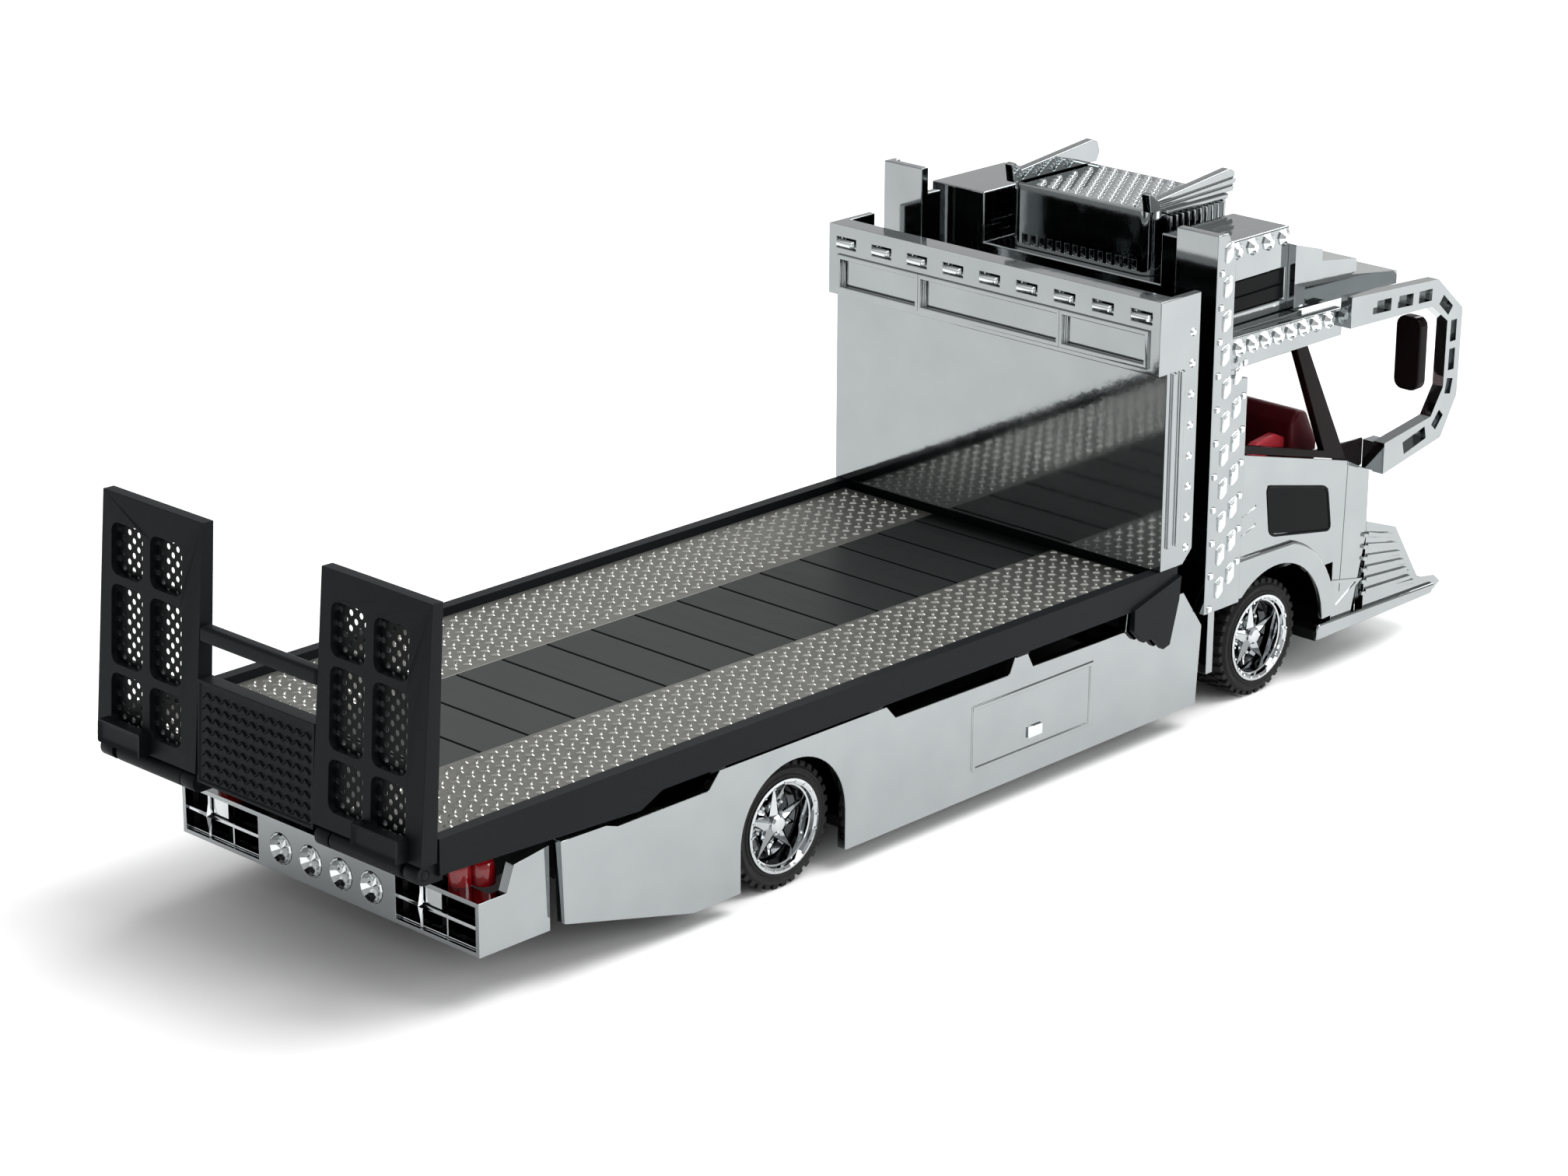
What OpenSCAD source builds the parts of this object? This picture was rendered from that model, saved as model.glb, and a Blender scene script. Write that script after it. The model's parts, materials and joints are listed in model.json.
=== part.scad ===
// Scale model of a decorated flatbed car transporter.
// +X runs forward to the cab, +Y to the left, +Z up, and the tyres stand on z = 0.
// Stations along X are counted from the hinge line of the loading ramps.
// The finished model is then slid back so that its middle stands over the origin.

/* [Bed] */
// Width over the two side rails of the bed
deck_w = 38; // [34:0.5:46]
// Station of the bed's rear edge
deck_rear = 2; // [1.9:0.1:3]
// Station of the bed's front edge
deck_front = 86.9; // [84:0.5:100]
// Height of the tread surface above the ground
deck_z = 15.3; // [14.5:0.1:20]
// How far the side rails stand above the tread surface
rail_rise = 0.75; // [0.3:0.05:1.5]
// Width of a side rail
rail_w = 1.1; // [0.8:0.1:1.8]
// Thickness of the floor plates
floor_t = 1.2; // [0.8:0.1:1.6]
// Half the width of the dark centre planks
plank_half_w = 7; // [5:0.5:9]
// Length of one centre plank
plank_pitch = 5; // [3:0.5:10]
// Width of the groove between two planks
groove_w = 0.25; // [0.15:0.05:0.5]

/* [Headboard] */
// Station of the mirror board's rear face
board_x = 84.4; // [82:0.1:90]
// Height of the headboard's top edge
board_top = 40.2; // [34:0.2:48]
// Depth of the headboard's side cheeks
cheek_l = 4.2; // [3:0.1:4.6]
// Height of the lamp band along the top
band_h = 6.5; // [5:0.1:8]
// How far the lamp band stands proud of the board
band_proud = 1.1; // [0.5:0.1:2]
// Number of oblong lamps in the band
band_lamps = 9; // [3:1:11]

/* [Ramps] */
// Height of a ramp leaf from its hinge to its tip
ramp_l = 20.8; // [16:0.2:26]
// Thickness of a ramp leaf
ramp_t = 1.6; // [1.2:0.1:1.8]
// Half the width of the gap between the two leaves
ramp_gap_half = 6.85; // [5:0.05:8]
// Forward lean of the upright leaves, in degrees
ramp_lean = 3.5; // [0:0.5:6]
// Station of the ramp hinge
hinge_x = 0.9; // [0.8:0.05:1]
// Height of the ramp hinge
hinge_z = 13.4; // [13:0.1:14]
// Radius of the ramp hinge pins
hinge_pin_r = 0.4; // [0.3:0.05:0.5]
// Height of the chevron panel's top above the hinge
panel_h = 8.6; // [5:0.1:10]

/* [Wheels] */
// Station of the rear axle
rear_axle_x = 39.75; // [36:0.25:44]
// Distance between the two axles
wheelbase = 61.3; // [60.5:0.1:63]
// Radius of the tyres
tyre_r = 5.4; // [4.8:0.1:5.7]
// Width of the tyres
tyre_w = 4.8; // [3.5:0.1:5.5]
// Radius of the wheel rims
rim_r = 3.95; // [3:0.05:4.3]
// Radius of the axle pins
axle_r = 0.8; // [0.6:0.05:1.2]
// Radial running clearance of a pin in its bore
run_gap = 0.05; // [0.03:0.01:0.08]

/* [Body] */
// Wall thickness of the plated shells
wall = 0.9; // [0.7:0.1:1.2]
// Station of the corner columns' rear face
column_x = 90.6; // [89.5:0.1:93]
// Height of the corner columns' top
column_top = 44.6; // [41:0.2:50]
// Station of the cab's front face below the windscreen
cab_front = 114.9; // [113:0.1:118]
// Station of the tip of the front lip
lip_front = 127; // [122:0.5:134]
// Height of the roof beam's lower edge
beam_z = 32; // [30:0.2:34]
// Height of the roof beam
beam_h = 3; // [2:0.1:4]
// Number of rosette lamps along each roof beam
beam_lamps = 8; // [4:1:10]
// Ground clearance of the side skirts
skirt_z = 1.7; // [1:0.1:3]

/* [Tilt] */
// Radius of the pin that the bed tilts on
tilt_pin_r = 0.6; // [0.4:0.05:0.8]
// Station of the tilt pin
tilt_x = 10.4; // [10:0.1:12]
// Height of the tilt pin
tilt_z = 9.6; // [9:0.1:10.2]

/* [Hidden] */
$fn = 48;

half_w = deck_w / 2;
seat_gap = 0.25;
fit_gap = 0.02;
rail_top = deck_z + rail_rise;
floor_bottom = deck_z - floor_t;
foot_h = 1.1;
barrel_r = ramp_t / 2;
foot_out = (barrel_r + foot_h) * cos(ramp_lean) - (barrel_r + 0.1) * sin(ramp_lean);
mid_x = (hinge_x - foot_out + lip_front) / 2;

// side skirts and the narrower rear bumper
skirt_y = half_w - 0.5;
skirt_in = skirt_y - wall;
skirt_rear = 14.5;
skirt_front = 91.2;
skirt_top = floor_bottom - 1;
skirt_tail_z = skirt_z + 3.4;
arch_r = tyre_r + 0.6;
bumper_y = half_w - 1.5;
bumper_rear = 7;
bumper_front = 14.2;
bumper_z = 4.5;
bumper_top = 8.9;
cheek_top = 11.5;

// wheels
front_axle_x = rear_axle_x + wheelbase;
tyre_out = skirt_in - 0.25;
tyre_in = tyre_out - tyre_w;
rim_dish = 1.2;
bead_r = rim_r - 0.3;
block_w = 2.2;
block_out = tyre_in - 0.5;

// chassis
base_z = 3;
base_t = 1;
base_rear = skirt_rear + 9;
rail_low_z = 5.2;
base_half_w = block_out;
rail_in = 6.6;
frame_w = 1.5;
frame_top = floor_bottom - 2.5;
lug_out = rail_in - 0.15;
lug_w = 1.4;
lug_r = 1.1;
screw_r = 1;

// ramps
leaf_out = half_w;
leaf_w = leaf_out - ramp_gap_half;
stile = 1.8;
mid_bar = 0.95;
window_w = (leaf_w - 2 * stile - mid_bar) / 2;
tip_h = 2;
window_rows = [[2.4, 0.2], [7.3, 0.31], [14.5, 0.2]];
pin_from = ramp_gap_half + 0.3;
pin_to = leaf_out - 0.4;
deck_lug_w = 1.5;
mesh_t = 0.4;

// cab
cab_low = 4.2;
cab_floor_z = 8.2;
cab_y = half_w - 0.5;
cab_in = cab_y - wall;
cab_rear = column_x + 2.6;
column_y = half_w + 0.2;
column_face_w = 4.6;
column_wide = column_x + 4.9;
column_step_z = 31.2;
column_foot = 10.6;
visor_z = beam_z + beam_h;
pillar_w = 1.6;
sill_rear_z = 24;
sill_front_z = 19.9;
cowl_x = cab_front - 3.5;
platform_y = half_w - 2.5;
platform_top = visor_z + 7.6;
platform_front = column_x + 13.4;
box_y = 8.2;
box_rear = column_x + 4.6;
box_front = column_x + 15;
box_top = platform_top + 1.2;
arm_y = half_w + 0.3;
arm_t = 1.2;
arm_rear = column_x + 17.6;
beam_end = arm_rear + 1.2;
lamp_r = 1.3;

module place() {
  translate([-mid_x, 0, 0])
    children();
}

module both_sides() {
  children();
  mirror([0, 1, 0])
    children();
}

// a plate in the XZ plane, from y to y + t
module side_plate(outline, y, t) {
  translate([0, y + t, 0])
    rotate([90, 0, 0])
      linear_extrude(t)
        polygon(outline);
}

// the same, taking 2D children
module side_cut(y, t) {
  translate([0, y + t, 0])
    rotate([90, 0, 0])
      linear_extrude(t)
        children();
}

// a box given by its two opposite corners
module block(low, high) {
  translate(low)
    cube(high - low);
}

// a pin along Y
module y_pin(x, z, r, y_from, y_to) {
  translate([x, y_from, z])
    rotate([-90, 0, 0])
      cylinder(r = r, h = y_to - y_from);
}

// ---- chassis ----

module chassis_base() {
  color("#1c1f22") {
    difference() {
      union() {
        block([base_rear, -base_half_w, base_z], [cab_front - 0.1, base_half_w, base_z + base_t]);
        for (span = [[base_rear, rear_axle_x - arch_r - 1], [rear_axle_x + arch_r + 1, skirt_front - 2]])
          block([span[0], -skirt_in, base_z], [span[1], skirt_in, base_z + base_t]);
        block([front_axle_x + tyre_r + 2.6, -cab_in, base_z], [cab_front - 0.1, cab_in, base_z + base_t]);
      }
      for (x = screw_stations())
        translate([x, 0, base_z - 1])
          cylinder(r = screw_r + fit_gap, h = base_t + 2);
    }
  }
}

function screw_stations() = [rear_axle_x - 12, (rear_axle_x + front_axle_x) / 2, front_axle_x + 8];

module base_screws() {
  color("#8d9092")
    for (x = screw_stations())
      translate([x, 0, base_z])
        difference() {
          union() {
            cylinder(r = screw_r, h = base_t + 2);
            translate([0, 0, -0.5])
              cylinder(r = screw_r * 1.6, h = 0.48);
          }
          translate([-screw_r, -0.15, -0.6])
            cube([2 * screw_r, 0.3, 0.35]);
        }
}

module frame_rails() {
  rail_floor = base_z + base_t;
  outline = [[bumper_rear + wall + 1, rail_low_z], [base_rear - 3, rail_low_z], [base_rear, rail_floor],
    [cab_rear - 0.1, rail_floor], [cab_rear - 0.1, frame_top], [bumper_rear + wall + 1, frame_top]];
  color("#1c1f22")
    both_sides()
      difference() {
        union() {
          side_plate(outline, rail_in, frame_w);
          block([skirt_rear + 6, rail_in + frame_w, frame_top - 1.6], [skirt_rear + 9, skirt_in, frame_top - 0.6]);
          block([skirt_front - 12, rail_in + frame_w, frame_top - 1.6], [skirt_front - 9, skirt_in, frame_top - 0.6]);
        }
        for (x = [rear_axle_x, front_axle_x])
          y_pin(x, tyre_r, axle_r + 0.5, rail_in - 1, rail_in + frame_w + 1);
        y_pin(tilt_x, tilt_z, tilt_pin_r + fit_gap, rail_in - 1, rail_in + frame_w + 1);
      }
}

module axle_blocks() {
  color("#24272a")
    both_sides()
      for (x = [rear_axle_x, front_axle_x])
        difference() {
          block([x - 2, block_out - block_w, base_z + base_t], [x + 2, block_out, tyre_r + axle_r + 1.2]);
          y_pin(x, tyre_r, axle_r + run_gap, block_out - block_w - 1, block_out + 1);
        }
}

module tilt_pin() {
  color("#b9bdbf")
    y_pin(tilt_x, tilt_z, tilt_pin_r, -rail_in - frame_w, rail_in + frame_w);
}

// ---- skirts and rear bumper ----

function skirt_outline() = [
  [skirt_rear, skirt_top - 1.1], [skirt_rear + 0.3, skirt_tail_z], [skirt_rear + 14, skirt_z],
  [skirt_front - 0.5, skirt_z + 0.5], [skirt_front, 9.4], [skirt_front - 2.7, skirt_top],
  [skirt_front - 10.3, skirt_top], [skirt_front - 10.5, skirt_top - 1.6], [skirt_front - 14, skirt_top - 1.6],
  [skirt_front - 22.6, skirt_top - 1.5], [skirt_front - 23.4, skirt_top], [skirt_front - 24.9, skirt_top],
  [skirt_front - 25.6, skirt_top - 1.5], [skirt_front - 39.6, skirt_top - 1.4], [skirt_front - 40.7, skirt_top - 0.2],
  [skirt_front - 59.8, skirt_top - 0.2], [skirt_front - 61, skirt_top - 1.6], [skirt_front - 70.8, skirt_top - 1.6],
  [skirt_front - 72, skirt_top - 1.2]];

module skirt() {
  color("#b3b8b9") {
    difference() {
      side_plate(skirt_outline(), skirt_in, wall);
      y_pin(rear_axle_x, tyre_r, arch_r, skirt_in - 1, skirt_y + 1);
      block([rear_axle_x - arch_r, skirt_in - 1, 0], [rear_axle_x + arch_r, skirt_y + 1, tyre_r]);
    }
    // raised surround of the storage door
    difference() {
      block([61, skirt_y - 0.1, 4.2], [76.4, skirt_y + 0.15, 10]);
      block([61.35, skirt_y - 0.2, 4.55], [76.05, skirt_y + 1, 9.65]);
    }
  }
}

module storage_handles() {
  color("#c9cdce")
    both_sides()
      block([68, skirt_y + fit_gap, 5.3], [69.8, skirt_y + 0.2, 6.3]);
}

module rear_bumper() {
  back = bumper_rear + wall + 0.6;
  cheek = [[back, bumper_z], [bumper_front, bumper_z], [bumper_front, cheek_top],
    [bumper_rear + 3.6, cheek_top - 0.5], [bumper_rear + 2.8, bumper_top], [back, bumper_top]];
  color("#b3b8b9") {
    difference() {
      block([bumper_rear, -bumper_y, bumper_z], [bumper_rear + wall + 1, bumper_y, bumper_top]);
      for (y = tail_lamp_places())
        translate([bumper_rear - 1, y, 6.6])
          rotate([0, 90, 0])
            cylinder(r = lamp_r + fit_gap, h = wall + 1.2);
      both_sides()
        block([bumper_rear - 1, bumper_y - 9.4, bumper_z + 0.35], [bumper_rear + wall + 0.2, bumper_y - 0.4, bumper_top - 0.4]);
    }
    both_sides()
      side_plate(cheek, bumper_y - wall, wall);
  }
}

function tail_lamp_places() = [for (i = [-1.5:1:1.5]) i * 3.57];

module round_tail_lamps() {
  color("#e4e8ea")
    for (y = tail_lamp_places())
      translate([bumper_rear + wall + 0.18, y, 6.6])
        rotate([0, -90, 0])
          difference() {
            cylinder(r = lamp_r, h = wall + 0.1);
            translate([0, 0, wall + 2.2])
              sphere(r = 2.4);
          }
}

// divided reflector cells that fill the two lamp pockets
module lamp_cells() {
  pocket_w = 9;
  pocket_h = bumper_top - bumper_z - 0.75;
  color("#2a2d30")
    both_sides()
      translate([bumper_rear + 0.2, bumper_y - 9.4 + fit_gap, bumper_z + 0.35 + fit_gap])
        difference() {
          cube([wall, pocket_w - 2 * fit_gap, pocket_h - 2 * fit_gap]);
          for (col = [0:1:2])
            for (row = [0:1:1])
              translate([-0.5, 0.3 + col * 2.9, 0.3 + row * (pocket_h / 2 - 0.1)])
                cube([1, 2.5, pocket_h / 2 - 0.5]);
        }
}

module red_side_lamps() {
  color("#8c1016")
    both_sides()
      for (spot = [[0.9, 3], [3.1, 1.9]])
        translate([bumper_rear + 1.2 + spot[0] * 0.6, bumper_y - wall - spot[1], bumper_top])
          cylinder(r = 0.95, h = 2.2);
}

// ---- cab ----

function pillar_x(z) = cowl_x - (z - sill_front_z) * 0.54;
function sill_z(x) = sill_rear_z + (x - column_wide) * (sill_front_z - sill_rear_z) / (cowl_x - column_wide);

function cab_side_outline() = [
  [cab_rear, column_foot], [front_axle_x, column_foot], [front_axle_x + 9, column_foot], [front_axle_x + 9, cab_low],
  [cab_front - 2, cab_low], [cab_front, 12], [cab_front, 18.2], [cowl_x, sill_front_z],
  [column_wide, sill_rear_z], [column_wide, beam_z], [cab_rear, beam_z]];

module cab_shell() {
  color("#b3b8b9") {
    both_sides()
      difference() {
        side_plate(cab_side_outline(), cab_in, wall);
        y_pin(front_axle_x, tyre_r, arch_r + 1.2, cab_in - 1, cab_y + 1);
        side_plate(low_window_outline(0), cab_in - 1, wall + 2);
      }
    both_sides()
      block([cab_rear, rail_in + frame_w + 0.1, base_z + base_t + fit_gap], [cab_rear + wall, cab_in, beam_z]);
    block([cab_rear, -cab_in, frame_top + 0.1], [cab_rear + wall, cab_in, beam_z]);
    // front panel, cowl and roof
    block([cab_front - wall, -cab_in, base_z + base_t + 0.02], [cab_front, cab_in, 18.2]);
    side_plate([[cab_front, 18.2], [cowl_x, sill_front_z], [cowl_x - 0.5, sill_front_z - wall], [cab_front - wall, 17]],
      -cab_in, 2 * cab_in);
    block([cab_rear, -cab_in, visor_z - wall], [pillar_x(beam_z), cab_in, visor_z]);
    block([cab_rear, -cab_in, beam_z], [cab_rear + wall, cab_in, visor_z]);
    block([cab_rear, -block_out, cab_floor_z], [cab_front - wall + 0.1, block_out, cab_floor_z + wall]);
    // inner wheel housings
    both_sides()
      block([front_axle_x - arch_r - 1.2, block_out + 0.1, 12.8], [cab_front - wall + 0.1, cab_in + 0.1, 12.8 + wall]);
  }
}

function low_window_outline(inset) = [
  [column_wide + 4.3 + inset, 20.2 - inset], [column_wide + 13.3 - inset, 17.9 - inset],
  [column_wide + 13.8 - inset, 13.9 + inset], [column_wide + 4.9 + inset, 15.6 + inset]];

module low_door_windows() {
  color("#111417")
    both_sides()
      side_plate(low_window_outline(fit_gap), cab_y - wall, wall - 0.25);
}

// black A-pillars and window sills
module window_frames() {
  color("#0d0f11")
    both_sides() {
      side_plate([[pillar_x(beam_z) - pillar_w, beam_z - fit_gap], [pillar_x(beam_z), beam_z - fit_gap],
        [cowl_x - fit_gap, sill_front_z + 0.1], [cowl_x - pillar_w - 1.4, sill_z(cowl_x - pillar_w - 1.4) + 0.1]],
        cab_in, wall - 0.1);
      side_plate([[column_wide + fit_gap, sill_rear_z + 0.1], [cowl_x - pillar_w - 1.4, sill_z(cowl_x - pillar_w - 1.4) + 0.1],
        [cowl_x - pillar_w - 1.4, sill_z(cowl_x - pillar_w - 1.4) + 0.8], [column_wide + fit_gap, sill_rear_z + 0.8]],
        cab_in, wall - 0.1);
    }
}

module windscreen() {
  color("#9fb0b8", 0.4)
    side_plate([[pillar_x(beam_z) - 1, beam_z - fit_gap], [pillar_x(beam_z) - 0.2, beam_z - fit_gap],
      [cowl_x - 0.3, sill_front_z + 0.1], [cowl_x - 1.1, sill_front_z + 0.1]], -cab_in + 0.05, 2 * cab_in - 0.1);
}

module seats() {
  floor_z = cab_floor_z + wall + fit_gap;
  color("#a5161f")
    both_sides() {
      block([cab_rear + 2.4, 2.6, floor_z], [cab_rear + 9.4, 9.6, 16]);
      block([cab_rear + 1.6, 2.6, 16], [cab_rear + 3.8, 9.6, 25.4]);
    }
}

module dashboard() {
  color("#5d1015")
    side_plate([[cowl_x - 4.6, 13.8], [cab_front - wall - 0.05, 13.8], [cab_front - wall - 0.05, 16.6],
      [cowl_x - 2.2, sill_front_z - 1.2], [cowl_x - 4.6, sill_front_z - 1.6]], -cab_in + 0.3, 2 * cab_in - 0.6);
}

module steering_wheel() {
  color("#c21f2a")
    translate([cowl_x - 6.2, -6.1, 19.2])
      rotate([0, 62, 0]) {
        rotate_extrude()
          translate([2, 0])
            circle(r = 0.35, $fn = 24);
        cylinder(r = 0.45, h = 2.9);
        for (turn = [0:120:240])
          rotate([0, 0, turn])
            translate([0, -0.2, -0.2])
              cube([2, 0.4, 0.4]);
      }
}

// tread-plate column behind the cab door: a side face and a rear face
module corner_column() {
  side_face = [[column_x, column_foot], [column_wide - 0.05, column_foot], [column_wide - 0.05, column_step_z],
    [column_wide - 2.4, column_step_z + 0.4], [column_wide - 2.4, column_top - 2.2], [column_x + 1.4, column_top], [column_x, column_top]];
  color("#aeb3b4") {
    side_plate(side_face, cab_y + 0.02, column_y - cab_y - 0.02);
    block([column_x, column_y - column_face_w, column_foot], [column_x + wall, column_y - 0.1, column_top]);
    block([column_x, column_y - column_face_w, column_foot], [cab_rear - 0.02, column_y - column_face_w + wall, column_top - 2.4]);
  }
}

module roof_beam() {
  outline = [[column_wide - 2.3, beam_z + 0.02], [beam_end, beam_z + 0.02], [beam_end, visor_z - 0.4],
    [column_wide - 2.3, visor_z - 0.02]];
  color("#b3b8b9")
    side_plate(outline, cab_in + 0.02, wall + 0.2);
}

module beam_rosettes() {
  pitch = (arm_rear - 1 - column_wide + 0.9) / (beam_lamps - 1);
  color("#e6eaec")
    both_sides()
      for (i = [0:1:beam_lamps - 1])
        translate([column_wide - 0.9 + i * pitch, cab_y + 0.24, beam_z + 1.9])
          rotate([-90, 0, 0])
            cylinder(r1 = 0.8, r2 = 0.45, h = 0.55);
}

module roof_platform() {
  color("#aeb3b4")
    difference() {
      block([cab_rear + 0.9, -platform_y, visor_z + 0.02], [platform_front, platform_y, platform_top]);
      both_sides()
        block([cab_rear + 2.2, platform_y - 0.4, visor_z + 1.1], [platform_front - 0.4, platform_y + 1, visor_z + 3.9]);
      block([cab_rear, -box_y - 2, visor_z + 3], [box_front + 1, box_y + 2, platform_top + 1]);
    }
}

module platform_rosettes() {
  color("#e6eaec")
    both_sides()
      for (i = [0:1:3])
        translate([cab_rear + 3.4 + i * 2.2, platform_y + 0.02, platform_top - 0.9])
          rotate([-90, 0, 0])
            cylinder(r1 = 0.8, r2 = 0.45, h = 0.5);
}

// three overlapping slabs that step down toward the front
module roof_visor() {
  steps = [[platform_front, 41, platform_front + 3.9, 39.9], [platform_front + 0.02, 39.4, platform_front + 9, 38.1],
    [platform_front + 0.04, 37.9, platform_front + 15.2, 35.8]];
  color("#a9aeb0")
    difference() {
      for (slab = steps)
        side_plate([[slab[0], slab[1]], [slab[2], slab[3]], [slab[2], slab[3] - 1.2], [slab[0], visor_z + 0.06]],
          -platform_y - 0.8, 2 * platform_y + 1.6);
      block([platform_front - 1, -box_y - 0.6, visor_z + 3], [box_front + 0.1, box_y + 0.6, box_top]);
    }
}

module roof_box() {
  color("#8f9496")
    translate([0, 0, visor_z + 3.02])
      linear_extrude(box_top - visor_z - 3)
        difference() {
          translate([box_rear, -box_y])
            square([box_front - box_rear, 2 * box_y]);
          for (s = [-1, 1])
            translate([box_rear, s * box_y])
              circle(r = 1.2);
        }
}

// upswept rails along both sides of the roof box
module roof_box_fins() {
  outline = [[box_rear - 0.3, box_top + 0.02], [box_rear - 0.6, box_top + 2.2], [box_rear + 2.4, box_top + 1.2],
    [box_front + 0.4, box_top + 1.9], [box_front + 1.2, box_top + 0.7], [box_front + 0.2, box_top + 0.02]];
  color("#aeb3b4")
    both_sides() {
      side_plate(outline, box_y - 1.3, 0.9);
      for (i = [0:1:6])
        block([box_rear + 2 + i * 1.3, box_y + 0.02, visor_z + 3.6], [box_rear + 2.6 + i * 1.3, box_y + 0.5, box_top - 0.4]);
    }
}

// slotted stay that carries a door mirror
module mirror_arm() {
  outer = [[arm_rear, 36], [arm_rear + 13, 35.2], [arm_rear + 17, 31.8], [arm_rear + 16.8, 23.6], [arm_rear + 14.6, 20],
    [arm_rear + 6, 18.4], [arm_rear + 6, 21.3], [arm_rear + 12.9, 22.3], [arm_rear + 14.6, 24.8],
    [arm_rear + 14.7, 31], [arm_rear + 12.2, 32.8], [arm_rear, 33.2]];
  color("#a9aeb0") {
    side_plate(outer, arm_y, arm_t);
    // brackets back to the roof beam and to the door
    block([arm_rear, cab_y + 0.24, 33.2], [arm_rear + 2.2, arm_y + 0.1, visor_z - 0.5]);
    block([arm_rear + 6, cab_y - 0.4, 18.5], [arm_rear + 7.6, arm_y + 0.1, 21.2]);
  }
}

module door_mirror() {
  color("#140b0c")
    block([arm_rear + 10.4, arm_y - 1.9, 25], [arm_rear + 11.4, arm_y + arm_t - 0.1, 32.8]);
}

module front_bumper() {
  side = [[front_axle_x + 7.8, 3.8], [lip_front - 1.4, 3.8], [lip_front, 4.6], [lip_front - 1, 5.4], [lip_front - 3.6, 5.8],
    [cab_front + 4.6, 11.7], [cab_front + 0.02, 13.3], [cab_front + 0.02, cab_low - 0.02], [front_axle_x + 7.8, cab_low - 0.02]];
  color("#b3b8b9") {
    difference() {
      side_plate(side, -cab_y, 2 * cab_y);
      block([cab_front - 8, -cab_in, 0], [cab_front + 3, cab_in, cab_low + 4]);
      block([cab_front + 0.5, -6, 5.4], [lip_front, 6, 9.4]);
    }
    both_sides()
      for (i = [0:1:5])
        side_plate([[cab_front + 0.1, 12.3 - i * 1.1], [cab_front + 4 + i * 0.6, 11.2 - i * 0.95],
          [cab_front + 4 + i * 0.6, 10.8 - i * 0.95], [cab_front + 0.1, 11.9 - i * 1.1]], cab_y - 0.1, 0.35);
  }
}

module grille() {
  color("#7f8486")
    for (i = [0:1:4])
      block([cab_front + 0.02, -12, 13.9 + i * 0.85], [cab_front + 0.7, 12, 14.35 + i * 0.85]);
}

module headlamps() {
  color("#dfe5e8")
    both_sides()
      for (y = [13.4, 16])
        translate([cab_front + 0.02, y, 15.6])
          rotate([0, 90, 0])
            cylinder(r = 1.15, h = 0.9);
}

// ---- running gear ----

module axle(x) {
  color("#b9bdbf")
    y_pin(x, tyre_r, axle_r, -tyre_out + rim_dish, tyre_out - rim_dish);
}

// dished five-spoke rim, outer face toward +Y
module rim(x) {
  web = tyre_w - 1.7;
  color("#d5d9db")
    translate([x, tyre_in, tyre_r])
      rotate([-90, 0, 0]) {
        difference() {
          rotate_extrude()
            polygon([[axle_r + fit_gap, 0], [bead_r, 0], [bead_r, tyre_w], [rim_r, tyre_w], [rim_r, tyre_w + 0.15],
              [bead_r, tyre_w + 0.15], [rim_r - 0.7, tyre_w - 0.6], [rim_r - 0.9, web], [axle_r + fit_gap, web]]);
          for (i = [0:1:4])
            rotate([0, 0, i * 72 + 36])
              translate([rim_r - 1.75, 0, web - 0.8])
                cylinder(r = 0.5, h = 2);
        }
        for (i = [0:1:4])
          rotate([0, 0, i * 72])
            translate([axle_r + 0.25, -0.3, web - 0.4])
              cube([rim_r - axle_r - 0.85, 0.6, 0.9]);
      }
}

module tyre(x) {
  shoulder = 0.5;
  color("#101112")
    translate([x, tyre_in, tyre_r])
      rotate([-90, 0, 0])
        rotate_extrude()
          polygon([[bead_r + fit_gap, 0.2], [tyre_r - shoulder, 0], [tyre_r, shoulder], [tyre_r, tyre_w - shoulder],
            [tyre_r - shoulder, tyre_w], [rim_r + fit_gap, tyre_w], [bead_r + fit_gap, tyre_w - fit_gap]]);
}

// ---- tilting bed ----

module bed_frame() {
  rail_low = deck_z - 1.95;
  tail_low = deck_z - 2.3;
  belly = deck_z - 3.3;
  step_x = deck_rear + 20.4;
  nose = deck_front;
  side_rail = [[deck_rear, rail_top], [deck_rear, tail_low + 0.2], [step_x, belly + 0.3], [step_x + 2.3, rail_low], [nose, rail_low],
    [nose, rail_top]];
  hook = [[nose + 0.2, deck_z - 0.1], [nose, rail_low - 0.3], [nose - 1.1, 9.2], [nose - 2, 9], [nose - 3.4, 10.4],
    [nose - 4.7, 10.3], [nose - 6, 11.6], [nose - 6, rail_low + 0.2]];
  color("#15191d")
    difference() {
      union() {
        both_sides() {
          side_plate(side_rail, half_w - rail_w, rail_w);
          side_plate(hook, half_w - 0.25, 0.55);
          // runners that rest over the frame rails
          block([tilt_x + 2.6, rail_in, frame_top + seat_gap], [board_x, rail_in + frame_w, floor_bottom - fit_gap]);
          // lugs on the tilt pin
          side_cut(lug_out - lug_w, lug_w)
            union() {
              translate([tilt_x, tilt_z])
                circle(r = lug_r);
              translate([tilt_x - lug_r, tilt_z])
                square([2 * lug_r, floor_bottom - fit_gap - tilt_z]);
            }
          // knuckles for the ramp hinge
          for (y = [pin_from, pin_to - deck_lug_w])
            side_cut(y, deck_lug_w)
              difference() {
                union() {
                  translate([hinge_x, hinge_z])
                    circle(r = barrel_r);
                  translate([hinge_x, hinge_z - barrel_r])
                    square([deck_rear + 0.6 - hinge_x, floor_bottom - fit_gap - hinge_z + barrel_r]);
                }
                translate([hinge_x, hinge_z])
                  circle(r = hinge_pin_r + fit_gap);
              }
        }
        // cross members under the floor
        for (x = [deck_rear, tilt_x - 0.8, 30, 48, 66, board_x - 3])
          block([x, -half_w + 0.1, floor_bottom - 1], [x + 1.6, half_w - 0.1, floor_bottom - fit_gap]);
      }
      y_pin(tilt_x, tilt_z, tilt_pin_r + run_gap, -half_w, half_w);
    }
}

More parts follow.
